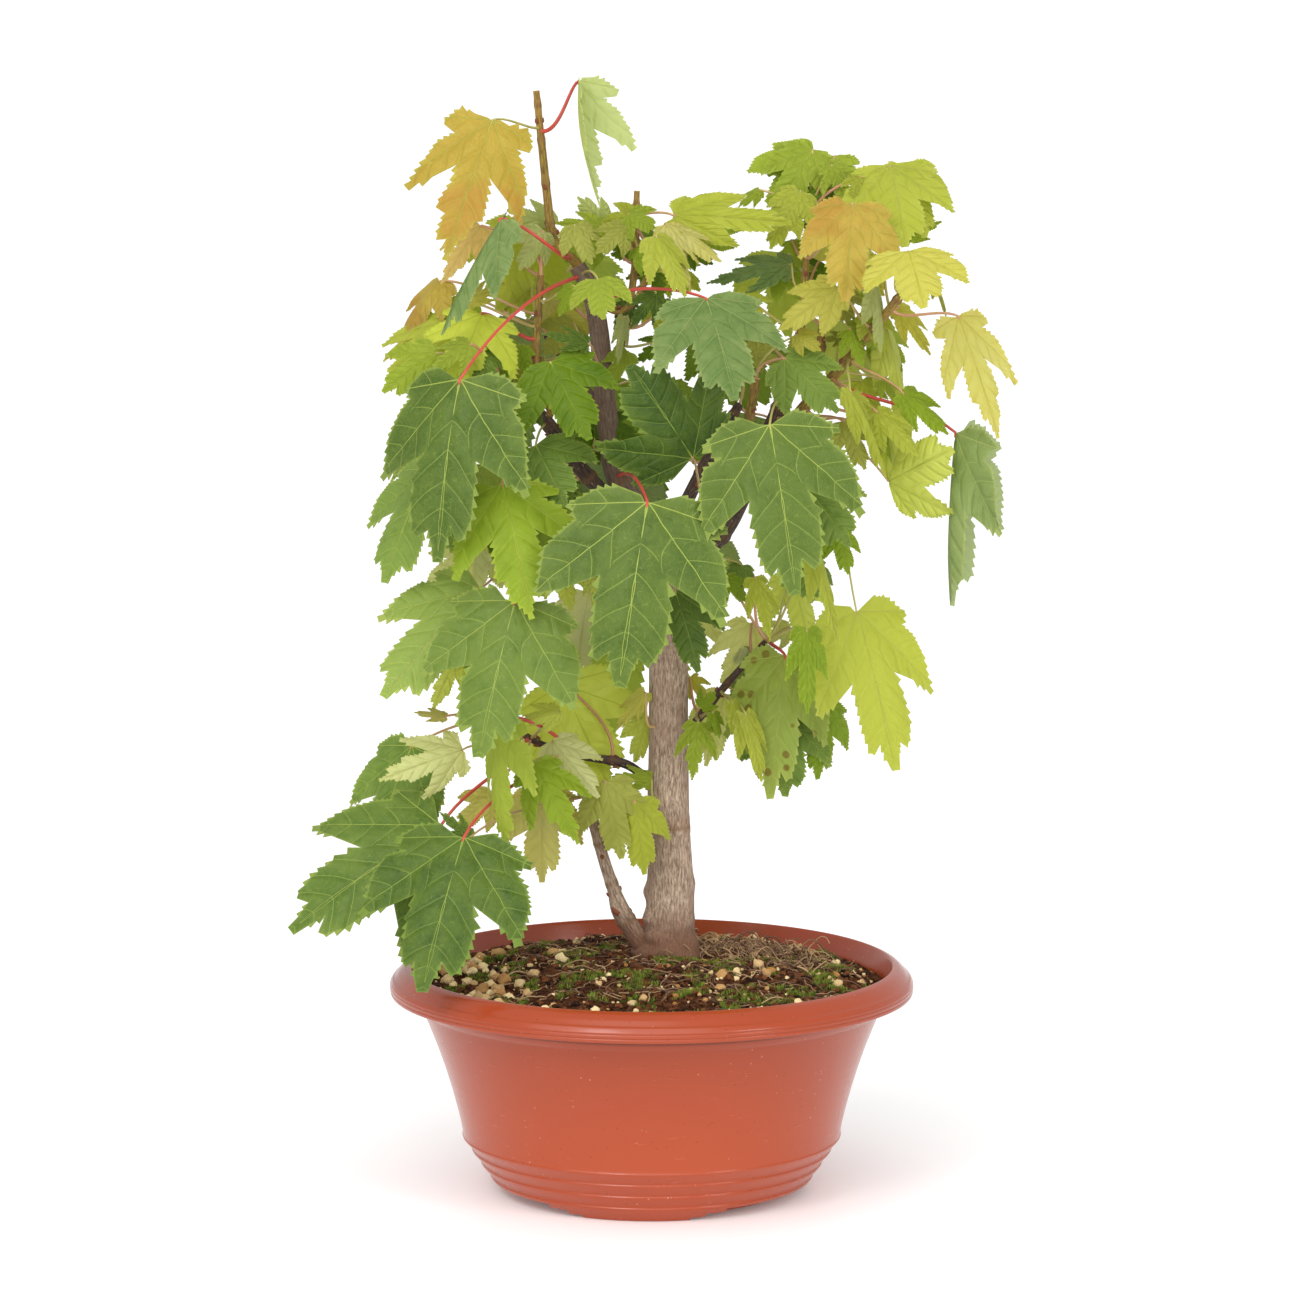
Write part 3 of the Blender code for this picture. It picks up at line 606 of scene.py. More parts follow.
def notch_cutter(number, foot):
    """The gap between two feet at one of its steps, as a swept block."""
    half_width, height = FOOT_STEPS[number]
    half_angle = math.asin(half_width / FOOT_RADIUS)
    span = 2 * math.pi / FOOT_COUNT - 2 * half_angle
    inner = FOOT_RADIUS - NOTCH_DEPTH - NOTCH_STAGGER * number
    middle = (inner + RIM_RADIUS) / 2
    bpy.ops.object.select_all(action="DESELECT")
    bpy.ops.mesh.primitive_plane_add(size=1, location=(middle, 0, 0),
                                     rotation=(math.pi / 2, 0, 0))
    cutter = bpy.context.active_object
    cutter.scale = (RIM_RADIUS - inner, 2 * height, 1)
    bpy.ops.object.transform_apply(location=True, rotation=True, scale=True)
    bpy.ops.object.mode_set(mode="EDIT")
    bpy.ops.mesh.spin(steps=NOTCH_SEGMENTS, angle=-span, center=(0, 0, 0), axis=(0, 0, 1))
    bpy.ops.mesh.select_all(action="SELECT")
    bpy.ops.mesh.remove_doubles(threshold=0.001 * MM)
    bpy.ops.mesh.normals_make_consistent(inside=False)
    bpy.ops.object.mode_set(mode="OBJECT")
    start = FOOT_TURN + 2 * math.pi * foot / FOOT_COUNT + half_angle
    cutter.data.transform(Matrix.Rotation(start, 4, "Z"))
    return cutter


def drain_cutter(number):
    angle = 2 * math.pi * (number + 0.5) / DRAIN_COUNT
    place = (DRAIN_CIRCLE * math.cos(angle), DRAIN_CIRCLE * math.sin(angle), BASE_LIFT)
    bpy.ops.object.select_all(action="DESELECT")
    bpy.ops.mesh.primitive_cylinder_add(vertices=32, radius=DRAIN_RADIUS, depth=20 * MM,
                                        location=place)
    cutter = bpy.context.active_object
    bpy.ops.object.transform_apply(location=True)
    return cutter


def make_bowl(plastic):
    floor = BASE_LIFT + WALL
    inside = [(8 * MM, floor)] + inner_wall(0)
    outside = rounded(rim_corners(), 0.8 * MM) + rounded(outside_corners(), 1.5 * MM)
    bowl = turned("bowl_shell", inside + outside + [(8 * MM, BASE_LIFT)])
    bowl.data.materials.append(plastic)
    for number in range(len(FOOT_STEPS)):
        for foot in range(FOOT_COUNT):
            cut_away(bowl, notch_cutter(number, foot))
    for number in range(DRAIN_COUNT):
        cut_away(bowl, drain_cutter(number))
    smooth(bowl, 32)
    keep(bowl, "terracotta_plastic", "bowl")


# Soil

def soil_height(x, y):
    """How high the lumpy soil stands at a place."""
    share = math.hypot(x, y) / SOIL_RADIUS
    level = SOIL_CROWN - (SOIL_CROWN - SOIL_EDGE) * share * share
    lumps = noise.noise(Vector((x, y, 0)) / (16 * MM)) * 2.6 * MM
    crumbs = noise.fractal(Vector((x, y, 7)) / (4.5 * MM), 0.8, 2.2, 3) * 1.1 * MM
    return level + lumps + crumbs


def make_soil(material):
    wall = [point for point in inner_wall(0.3 * MM) if point[1] < SOIL_EDGE - 4 * MM]
    rings = [(SOIL_RADIUS * step / SOIL_RINGS, SOIL_TOP) for step in range(1, SOIL_RINGS + 1)]
    soil = turned("soil_bed", [(4 * MM, wall[0][1])] + wall + rings[::-1])
    for vert in soil.data.vertices:
        if vert.co.z > SOIL_EDGE:
            vert.co.z = soil_height(vert.co.x, vert.co.y)
    soil.data.materials.append(material)
    smooth(soil, 60)
    keep(soil, "soil", "soil")


def grain_shape(rng, rounds, flat):
    """A worn grain about one unit across, as points and faces."""
    bpy.ops.object.select_all(action="DESELECT")
    bpy.ops.mesh.primitive_ico_sphere_add(subdivisions=rounds, radius=0.5)
    ball = bpy.context.active_object
    offset = Vector((rng.uniform(0, 90), rng.uniform(0, 90), 0))
    verts = []
    for vert in ball.data.vertices:
        worn = 1 + 0.7 * noise.noise(vert.co * 2.4 + offset)
        verts.append(Vector((vert.co.x, vert.co.y * 0.85, vert.co.z * flat)) * worn)
    faces = [tuple(face.vertices) for face in ball.data.polygons]
    bpy.data.objects.remove(ball)
    return verts, faces


def upright(rng):
    return Matrix.Rotation(rng.uniform(0, 2 * math.pi), 3, "Z")


def tumbled(rng):
    return upright(rng) @ Matrix.Rotation(rng.uniform(-0.6, 0.6), 3, "X")


def scatter(name, shapes, spots, rng, material, lay=tumbled, least=0):
    """One piece of many loose copies, each laid at its spot, which is (place, size).

    Each copy has a shade of its own, and each point knows its height in the copy.
    """
    verts, faces, shades, rises = [], [], [], []
    for place, size in spots:
        shape_verts, shape_faces = rng.choice(shapes)
        turn = lay(rng)
        shade = least + (1 - least) * rng.random()
        faces += shifted(shape_faces, len(verts))
        verts += [place + turn @ vert * size for vert in shape_verts]
        shades += [shade] * len(shape_verts)
        rises += [vert.z for vert in shape_verts]
    piece = mesh_piece(name, verts, faces, material)
    write_values(piece.data, "shade", shades)
    write_values(piece.data, "rise", rises)
    return keep(piece, "soil")


def around(radius, angle, lift):
    """A place on the soil, so much over its surface, from its distance and direction."""
    x, y = radius * math.cos(angle), radius * math.sin(angle)
    return Vector((x, y, soil_height(x, y) + lift))


def soil_spot(rng, lift, near=0):
    """A random place on the soil, no nearer to its middle than a share of its radius."""
    radius = (LIP_RADIUS - 7 * MM) * math.sqrt(rng.uniform(near * near, 1))
    return around(radius, rng.uniform(0, 2 * math.pi), lift)


def strewn(rng, count, sizes, lift, near=0):
    """Random places for a number of grains, each with its size in millimetres from a range."""
    spots = []
    for _ in range(count):
        size = rng.triangular(*sizes) * MM
        spots.append((soil_spot(rng, lift * size, near), size))
    return spots


def make_grit(brown, cream):
    rng = random.Random(4)
    shapes = [grain_shape(rng, 1, 0.7) for _ in range(5)]
    scatter("soil_grit", shapes, strewn(rng, GRIT_COUNT, (1, 5, 1.7), 0.1), rng, brown)
    shapes = [grain_shape(rng, 2, 0.75) for _ in range(7)]
    spots = strewn(rng, SCATTERED_PEBBLES, (2.2, 7, 3.4), 0.22, 0.35)
    for _ in range(HEAPED_PEBBLES):
        size = rng.triangular(3.5, 9, 5.5) * MM
        angle = math.radians(rng.uniform(150, 225))
        radius = rng.uniform(0.72, 0.98) * (LIP_RADIUS - 8 * MM)
        spots.append((around(radius, angle, 0.3 * size), size))
    spots += strewn(rng, SMALL_PEBBLES, (1, 3, 1.5), 0.2)
    smooth(scatter("pale_pebbles", shapes, spots, rng, cream), 50)


def tuft_shape(rng):
    """A tuft of moss leaves, each a thin spike."""
    verts, faces = [], []
    for blade in range(MOSS_BLADES):
        angle = 2 * math.pi * blade / MOSS_BLADES + rng.uniform(-0.4, 0.4)
        lean = rng.uniform(0.15, 0.8)
        out = Vector((math.cos(angle), math.sin(angle), 0))
        side = Vector((-out.y, out.x, 0)) * 0.13
        foot = out * 0.12
        tip = out * math.sin(lean) + Vector((0, 0, math.cos(lean)))
        faces += shifted([(0, 2, 3), (2, 1, 3), (1, 0, 3), (0, 1, 2)], len(verts))
        verts += [foot + side, foot - side, foot + out * 0.16, tip]
    return verts, faces


def make_moss(material):
    """Moss where the soil's patches are, thickest towards the front."""
    rng = random.Random(11)
    shapes = [tuft_shape(rng) for _ in range(6)]
    spots = []
    while len(spots) < MOSS_COUNT:
        place = soil_spot(rng, -0.3 * MM)
        patch = noise.noise(Vector((place.x, place.y, 3)) / (15 * MM))
        if patch - place.y > 0.14:
            spots.append((place, rng.uniform(1.3, 3.2) * MM))
    scatter("moss", shapes, spots, rng, material, upright, 0.3)


def smooth_path(points, step):
    """Points (x, y, z, radius) about a step apart on a smooth curve through the given ones."""
    rows = [Vector(point) for point in points]
    rows = [rows[0] * 2 - rows[1]] + rows + [rows[-1] * 2 - rows[-2]]
    path = []
    for a, b, c, d in zip(rows, rows[1:], rows[2:], rows[3:]):
        count = max(1, round((c.xyz - b.xyz).length / step))
        for index in range(count):
            t = index / count
            bend = (b * 2 + (c - a) * t + (a * 2 - b * 5 + c * 4 - d) * t * t
                    + (b * 3 - a - c * 3 + d) * t ** 3)
            path.append(bend * 0.5)
    path.append(rows[-2])
    return path


def tube(path, sides, relief=None):
    """A closed round limb along a path: its points, faces and grain, which is it laid straight."""
    verts, grain, faces = [], [], []
    side = Vector((1, 0.2, 0))
    along = 0
    for index, spot in enumerate(path):
        ahead = path[min(index + 1, len(path) - 1)].xyz
        behind = path[max(index - 1, 0)].xyz
        heading = (ahead - behind).normalized()
        side = (side - heading * side.dot(heading)).normalized()
        other = heading.cross(side)
        along += (spot.xyz - behind).length if index else 0
        for step in range(sides):
            angle = 2 * math.pi * step / sides
            radius = spot.w * (1 + relief(angle, along) if relief else 1)
            verts.append(spot.xyz + (side * math.cos(angle) + other * math.sin(angle)) * radius)
            grain.append((radius * math.cos(angle), radius * math.sin(angle), along))
            if index:
                here, there = index * sides + step, index * sides + (step + 1) % sides
                faces.append((here - sides, there - sides, there, here))
    last = len(verts) - sides
    for first, centre, order in ((0, path[0].xyz, -1), (last, path[-1].xyz, 1)):
        verts.append(centre)
        grain.append((0, 0, along if first else 0))
        for step in range(sides):
            pair = (first + step, first + (step + 1) % sides)
            faces.append((len(verts) - 1, *pair[::order]))
    return verts, faces, grain


def make_roots(material):
    """Fine roots that wander over the soil, densest in a mat to the right of the trunk."""
    rng = random.Random(23)
    verts, faces, shades = [], [], []
    for number in range(ROOT_COUNT):
        matted = number < MATTED_ROOTS
        if matted:
            x, y = rng.gauss(46, 20) * MM, rng.gauss(25, 13) * MM
        else:
            x, y = rng.uniform(-70, 90) * MM, rng.uniform(-75, 60) * MM
        heading = rng.uniform(0, 2 * math.pi)
        radius = rng.triangular(0.12, 0.45, 0.18) * MM
        lift = rng.uniform(0.8, 8 if matted else 2.5) * MM
        path = []
        for _ in range(rng.randint(4, 12)):
            if math.hypot(x, y) > LIP_RADIUS - 9 * MM:
                break
            rise = max(lift * math.sin(len(path) * 0.5 + number), -0.4 * MM)
            path.append(Vector((x, y, soil_height(x, y) + 0.4 * MM + rise, radius)))
            heading += rng.uniform(-0.8, 0.8)
            x += ROOT_STEP * math.cos(heading)
            y += ROOT_STEP * math.sin(heading)
        if len(path) < 3:
            continue
        piece_verts, piece_faces, _ = tube(smooth_path(path, 2 * MM), 5)
        faces += shifted(piece_faces, len(verts))
        verts += piece_verts
        shades += [rng.random() ** (1 if matted else 2)] * len(piece_verts)
    roots = mesh_piece("fine_roots", verts, faces, material)
    write_values(roots.data, "shade", shades)
    smooth(roots, 60)
    keep(roots, "soil")


# Tables

# How each look of leaf is painted: its material, its slot, its five tones (upper face, its
# clouds, under face, veins, light that comes through) and the share of that light
Look = namedtuple("Look", "material slot tones thinness blush spots", defaults=(None, 0))
LOOKS = {
    "deep": Look("leaf_deep_green", "leaf_dark",
        ((48, 76, 13), (78, 102, 24), (122, 142, 71), (143, 165, 67), (120, 160, 30)), 0.18),
    "dark": Look("leaf_dark_green", "leaf_dark",
        ((78, 106, 31), (104, 126, 45), (133, 151, 87), (166, 182, 83), (140, 175, 40)), 0.2),
    "blue": Look("leaf_blue_green", "leaf_dark",
        ((88, 117, 51), (119, 139, 74), (151, 161, 114), (153, 167, 96), (120, 160, 50)), 0.18),
    "grass": Look("leaf_grass_green", "leaf_green",
        ((67, 92, 24), (88, 110, 37), (123, 140, 72), (168, 184, 84), (140, 180, 36)), 0.22),
    "soft": Look("leaf_soft_green", "leaf_green",
        ((126, 152, 62), (146, 168, 76), (174, 183, 106), (195, 202, 101), (165, 200, 50)), 0.28),
    # Painted light: a brighter copy of the lime, for leaves that stand in shade deep in the crown
    "glow": Look("leaf_lit_lime", "leaf_lime",
        ((222, 226, 106), (230, 233, 122), (224, 230, 134), (178, 190, 84), (215, 225, 70)), 0.5),
    "faded": Look("leaf_faded_green", "leaf_dark",
        ((130, 150, 84), (148, 166, 100), (168, 182, 124), (190, 200, 120), (160, 190, 70)), 0.25),
    "mid": Look("leaf_mid_green", "leaf_green",
        ((93, 120, 38), (123, 148, 60), (154, 171, 96), (178, 193, 86), (150, 190, 40)), 0.25),
    "leafy": Look("leaf_leaf_green", "leaf_green",
        ((71, 104, 5), (98, 125, 9), (139, 158, 48), (148, 169, 40), (140, 185, 20)), 0.3),
    "fresh": Look("leaf_fresh_green", "leaf_green",
        ((126, 149, 25), (149, 170, 39), (169, 185, 74), (188, 198, 74), (170, 205, 30)), 0.38),
    "lime": Look("leaf_lime", "leaf_lime",
        ((150, 167, 46), (172, 185, 62), (189, 199, 96), (201, 209, 96), (190, 210, 50)), 0.46),
    "bright": Look("leaf_bright_lime", "leaf_lime",
        ((180, 187, 58), (194, 199, 76), (196, 202, 109), (208, 209, 111), (205, 215, 60)), 0.5),
    # Painted light: a brighter copy of the lime, for a leaf that stands in shade
    "sunny": Look("leaf_sunny_lime", "leaf_lime",
        ((208, 218, 70), (217, 225, 84), (216, 222, 110), (190, 200, 84), (215, 225, 60)), 0.5),
    "olive": Look("leaf_olive", "leaf_lime",
        ((172, 176, 74), (188, 192, 92), (196, 202, 112), (196, 196, 104), (190, 190, 60)), 0.5),
    "spotted": Look("leaf_spotted", "leaf_lime",
        ((178, 186, 84), (150, 170, 78), (190, 196, 110), (200, 208, 120), (200, 210, 80)), 0.45,
        spots=0.9),
    "yellow": Look("leaf_yellow", "leaf_yellow",
        ((196, 194, 80), (212, 208, 104), (216, 216, 134), (183, 188, 79), (230, 225, 90)), 0.5),
    "straw": Look("leaf_straw", "leaf_yellow",
        ((216, 214, 116), (228, 226, 140), (224, 226, 150), (222, 200, 99), (215, 205, 90)), 0.52),
    "pale": Look("leaf_pale", "leaf_yellow",
        ((216, 222, 150), (230, 233, 174), (230, 232, 182), (192, 198, 118), (230, 230, 130)), 0.5),
    "sage": Look("leaf_sage", "leaf_lime",
        ((196, 200, 122), (206, 210, 140), (204, 212, 150), (214, 218, 140), (200, 215, 90)), 0.5),
    "peach": Look("leaf_peach", "leaf_bronze",
        ((222, 192, 106), (228, 204, 126), (226, 206, 140), (190, 205, 110), (235, 205, 90)), 0.5),
    "bronze": Look("leaf_bronze", "leaf_bronze",
        ((180, 158, 58), (202, 178, 78), (198, 184, 104), (186, 196, 88), (214, 190, 60)), 0.42,
        blush=(188, 136, 58)),
}

TRUNK_POINTS = (
    (8, 12, -12, 13), (8, 12, 0, 15), (8.5, 12, 5, 13), (9, 12, 14, 11.6),
    (9, 12, 26, 11.4), (8.5, 12, 48, 10.6), (8, 12, 78, 9.8), (8, 12, 118, 9.4),
    (7.5, 11, 153, 9.2), (6, 9, 178, 9), (2, 7, 200, 8.2), (-6, 6, 213, 6.6),
    (-16, 6, 229, 5.6), (-20, 6, 248, 5.3), (-22, 6, 266, 5), (-25, 6, 299, 4.6),
    (-29, 6, 318, 4.3), (-35, 6, 329, 4),
)

BRANCHES = (
    Wood("side_stem", "trunk", None,
         ((4, 11, -6, 6.2), (-3, 9, 3, 5.4), (-10, 7, 13, 4.4), (-15, 4, 22, 4.5),
          (-18.5, 2, 33, 3.2), (-23, 0, 47, 2.9), (-31, -4, 79, 2.7)),
         "grey"),
    Wood("left_branch", "trunk", 0.69,
         ((-35, -2, 236, 3.6), (-45, -3, 250, 3.3), (-53, -4, 260, 3.2), (-62, -4, 268, 3)),
         "dark"),
    Wood("left_twig", "left_branch", 0.76,
         ((-54, -3, 275, 2), (-54, -2, 295, 1.8), (-52, 0, 325, 1.7)), "olive"),
    Wood("top_twig", "trunk", 1.0,
         ((-46, 5, 341, 2.3), (-49, 4, 362, 2), (-52, 4, 392, 1.7), (-54, 4, 411, 1.5)),
         "olive"),
    Wood("centre_twig", "trunk", 0.86,
         ((-12, 10, 300, 2), (-8, 10, 330, 1.6), (-7, 10, 364, 1.4)), "olive"),
    Wood("thin_twig", "trunk", 0.91,
         ((-14, 2, 308, 1.5), (-5, 1, 318, 1.4), (4, 0, 343, 1.2)), "olive"),
    Wood("right_branch", "trunk", 0.54,
         ((25, 11, 194, 5.2), (34, 12, 204, 4.8), (42, 12, 218, 4.5), (56, 12, 251, 3.8),
          (63, 10, 268, 3.4)), "dark"),
    Wood("green_stub", "right_branch", 0.62,
         ((43, 1, 232, 2.3), (45, -2, 252, 2.2), (49, -5, 277, 2.1)), "olive"),
    Wood("right_upper_twig", "right_branch", 0.84,
         ((72, 10, 262, 2.8), (89, 6, 281, 2.5), (104, -5, 300, 2.2), (119, -16, 320, 2)),
         "olive"),
    Wood("right_middle_twig", "right_branch", 1.0,
         ((67, 14, 280, 2.2), (70, 16, 292, 1.9), (72, 17, 318, 1.6), (74, 18, 346, 1.4)),
         "olive"),
    Wood("right_short_twig", "right_upper_twig", 0.45,
         ((80, 12, 288, 1.8), (80, 12, 298, 1.7), (83, 12, 315, 1.5)), "olive"),
    Wood("lower_right_twig", "trunk", 0.40,
         ((26, 10, 118, 2), (38, 7, 133, 1.7), (55, 4, 152, 1.3)), "dark"),
    Wood("lower_left_twig", "trunk", 0.365,
         ((-14, 10, 92, 2.2), (-34, 7, 96, 1.9), (-51, 5, 101, 1.7), (-64, 0, 109, 1.3)),
         "dark"),
    Wood("back_left_branch", "trunk", 0.74,
         ((-22, 24, 252, 3.2), (-34, 44, 270, 2.7), (-50, 62, 292, 2.2)), "dark"),
    Wood("back_right_branch", "trunk", 0.58,
         ((14, 24, 210, 3.4), (26, 44, 232, 2.9), (42, 66, 258, 2.3)), "dark"),
    Wood("back_low_twig", "trunk", 0.46,
         ((4, 30, 150, 2), (0, 44, 160, 1.8), (-6, 58, 170, 1.5)), "dark"),
)

# The leaves that the part has: name, twig, how far along it the stalk starts, base, tip, facing,
# width, fold, arch, look and shape, which is broad if left out
LEAVES = (
    ("low_left_front", "lower_left_twig", 0.8, (-87, -66, 69), (-105, -96, 2), -100, 1, 8, 20,
     "deep"),
    ("low_left_outer", "lower_left_twig", 0.92, (-99, -34, 69), (-169, -50, 22), -110, 0.9, 15, 25,
     "dark"),
    ("low_left_round", "lower_left_twig", 1, (-114, 4, 101), (-133, -8, 45), -130, 0.9, 6, 15,
     "mid"),
    ("low_left_pale", "lower_left_twig", 0.96, (-89, -20, 103), (-128, -30, 90), -80, 0.8, 20, 20,
     "pale", "young"),
    ("hanging_lime", "lower_left_twig", 0.7, (-72, -48, 123), (-68, -56, 60), -120, 0.6, 40, 20,
     "lime", "young"),
    ("crinkled", "lower_left_twig", 0.6, (-56, -34, 99), (-34, -48, 63), -90, 0.8, 20, 25,
     "fresh", "young"),
    ("low_centre", "lower_left_twig", 0.45, (-43, 24, 128), (-20, 14, 79), -90, 1.1, 8, 15, "glow"),
    ("left_front", "trunk", 0.625, (-63, -64, 179), (-79, -80, 109), -98, 0.96, 10, 20, "dark"),
    ("left_behind", "trunk", 0.64, (-80, -36, 181), (-124, -50, 132), -110, 0.9, 12, 20, "soft"),
    ("front", "trunk", 0.71, (-2, -75, 226), (-15, -90, 143), -90, 1, 8, 20, "grass"),
    ("under_front", "trunk", 0.56, (11, -34, 180), (22, -42, 143), -85, 0.9, 12, 15, "deep"),
    ("upper_left", "trunk", 0.98, (-88, -60, 281), (-99, -74, 198), -110, 0.86, 15, 20, "grass"),
    ("left_lime", "left_branch", 0.95, (-69, -50, 232), (-55, -76, 172), -85, 1, 12, 20,
     "fresh", "young"),
    ("left_edge", "left_branch", 1, (-103, -25, 236), (-124, -36, 184), -130, 1, 12, 20, "mid"),
    ("left_inner", "left_twig", 0.4, (-47, -34, 287), (-29, -50, 252), -90, 1.1, 10, 20, "leafy"),
    ("left_small", "left_branch", 0.72, (-54, -30, 248), (-40, -44, 221), -95, 1.35, 12, 20, "mid"),
    ("left_yellow", "left_twig", 0.75, (-79, -12, 308), (-93, -28, 273), -100, 1.3, 10, 20,
     "sunny", "young"),
    ("left_dark_fold", "top_twig", 0.25, (-70, -30, 353), (-96, -38, 300), -150, 0.52, 40, 15,
     "blue"),
    ("top_bronze", "top_twig", 0.82, (-74, -15, 398), (-96, -32, 334), -90, 0.85, 12, 20,
     "bronze", "young"),
    ("top_pale", "top_twig", 0.8, (-34, -10, 416), (-25, -16, 358), 140, 0.8, 45, 30,
     "sage", "young"),
    ("top_small", "trunk", 0.98, (-25, -28, 325), (-22, -50, 308), -90, 1, 10, 15, "lime"),
    ("top_pink", "thin_twig", 1, (7, -16, 350), (18, -26, 319), -80, 0.7, 35, 20, "straw", "young"),
    ("top_flat", "centre_twig", 0.92, (10, 2, 353), (65, -10, 350), -90, 0.45, 15, 20, "bright"),
    ("upper_centre", "thin_twig", 0.35, (25, -42, 317), (38, -80, 273), -80, 1, 8, 20, "blue"),
    ("inner_dark", "right_branch", 0.45, (19, -42, 243), (-10, -52, 287), -90, 1.25, 15, 15,
     "deep"),
    ("right_front", "right_branch", 0.97, (54, -68, 261), (66, -82, 184), -85, 0.92, 8, 20,
     "grass"),
    ("right_inner", "right_branch", 0.9, (69, -30, 232), (92, -42, 202), -80, 1.1, 10, 20, "mid"),
    ("right_bronze", "right_middle_twig", 0.9, (93, -26, 360), (89, -50, 316), -90, 0.88, 8, 20,
     "bronze"),
    ("right_top", "right_middle_twig", 1, (112, 4, 376), (118, -24, 340), -85, 1.1, 10, 20,
     "bright"),
    ("right_crown", "right_middle_twig", 0.97, (75, 38, 381), (58, 26, 351), -95, 1.2, 12, 20,
     "lime"),
    ("right_yellow_top", "right_upper_twig", 0.98, (118, -46, 339), (124, -76, 315),
     -85, 1.2, 6, 20, "yellow"),
    ("far_right_yellow", "right_upper_twig", 0.9, (143, -16, 307), (161, -30, 251),
     -80, 0.62, 10, 15, "straw", "young"),
    ("far_right_fold", "right_upper_twig", 0.55, (143, 0, 251), (142, -6, 170), 170, 0.7, 50, 10,
     "faded"),
    ("right_point", "right_upper_twig", 0.4, (112, 8, 227), (141, -16, 245), -80, 1.2, 12, 10,
     "glow"),
    ("right_hanging", "right_upper_twig", 0.3, (96, -22, 169), (114, -32, 95), -75, 0.74, 10, 20,
     "bright"),
    ("low_right_spotted", "lower_right_twig", 1, (63, -6, 146), (56, -18, 79), -90, 0.72, 20, 20,
     "spotted"),
    ("back_left_top", "back_left_branch", 1, (-64, 72, 290), (-76, 92, 222), 115, 1, 10, 20, "mid"),
    ("back_left_edge", "back_left_branch", 0.9, (-96, 44, 262), (-122, 58, 198), 150, 1, 12, 20,
     "lime"),
    ("back_centre", "back_left_branch", 0.7, (-8, 74, 268), (-10, 98, 196), 90, 1, 8, 20, "leafy"),
    ("back_right", "back_right_branch", 1, (58, 78, 250), (72, 98, 180), 65, 1, 10, 20, "mid"),
    ("back_low", "back_low_twig", 1, (-16, 72, 160), (-22, 92, 92), 95, 1, 10, 20, "lime"),
)

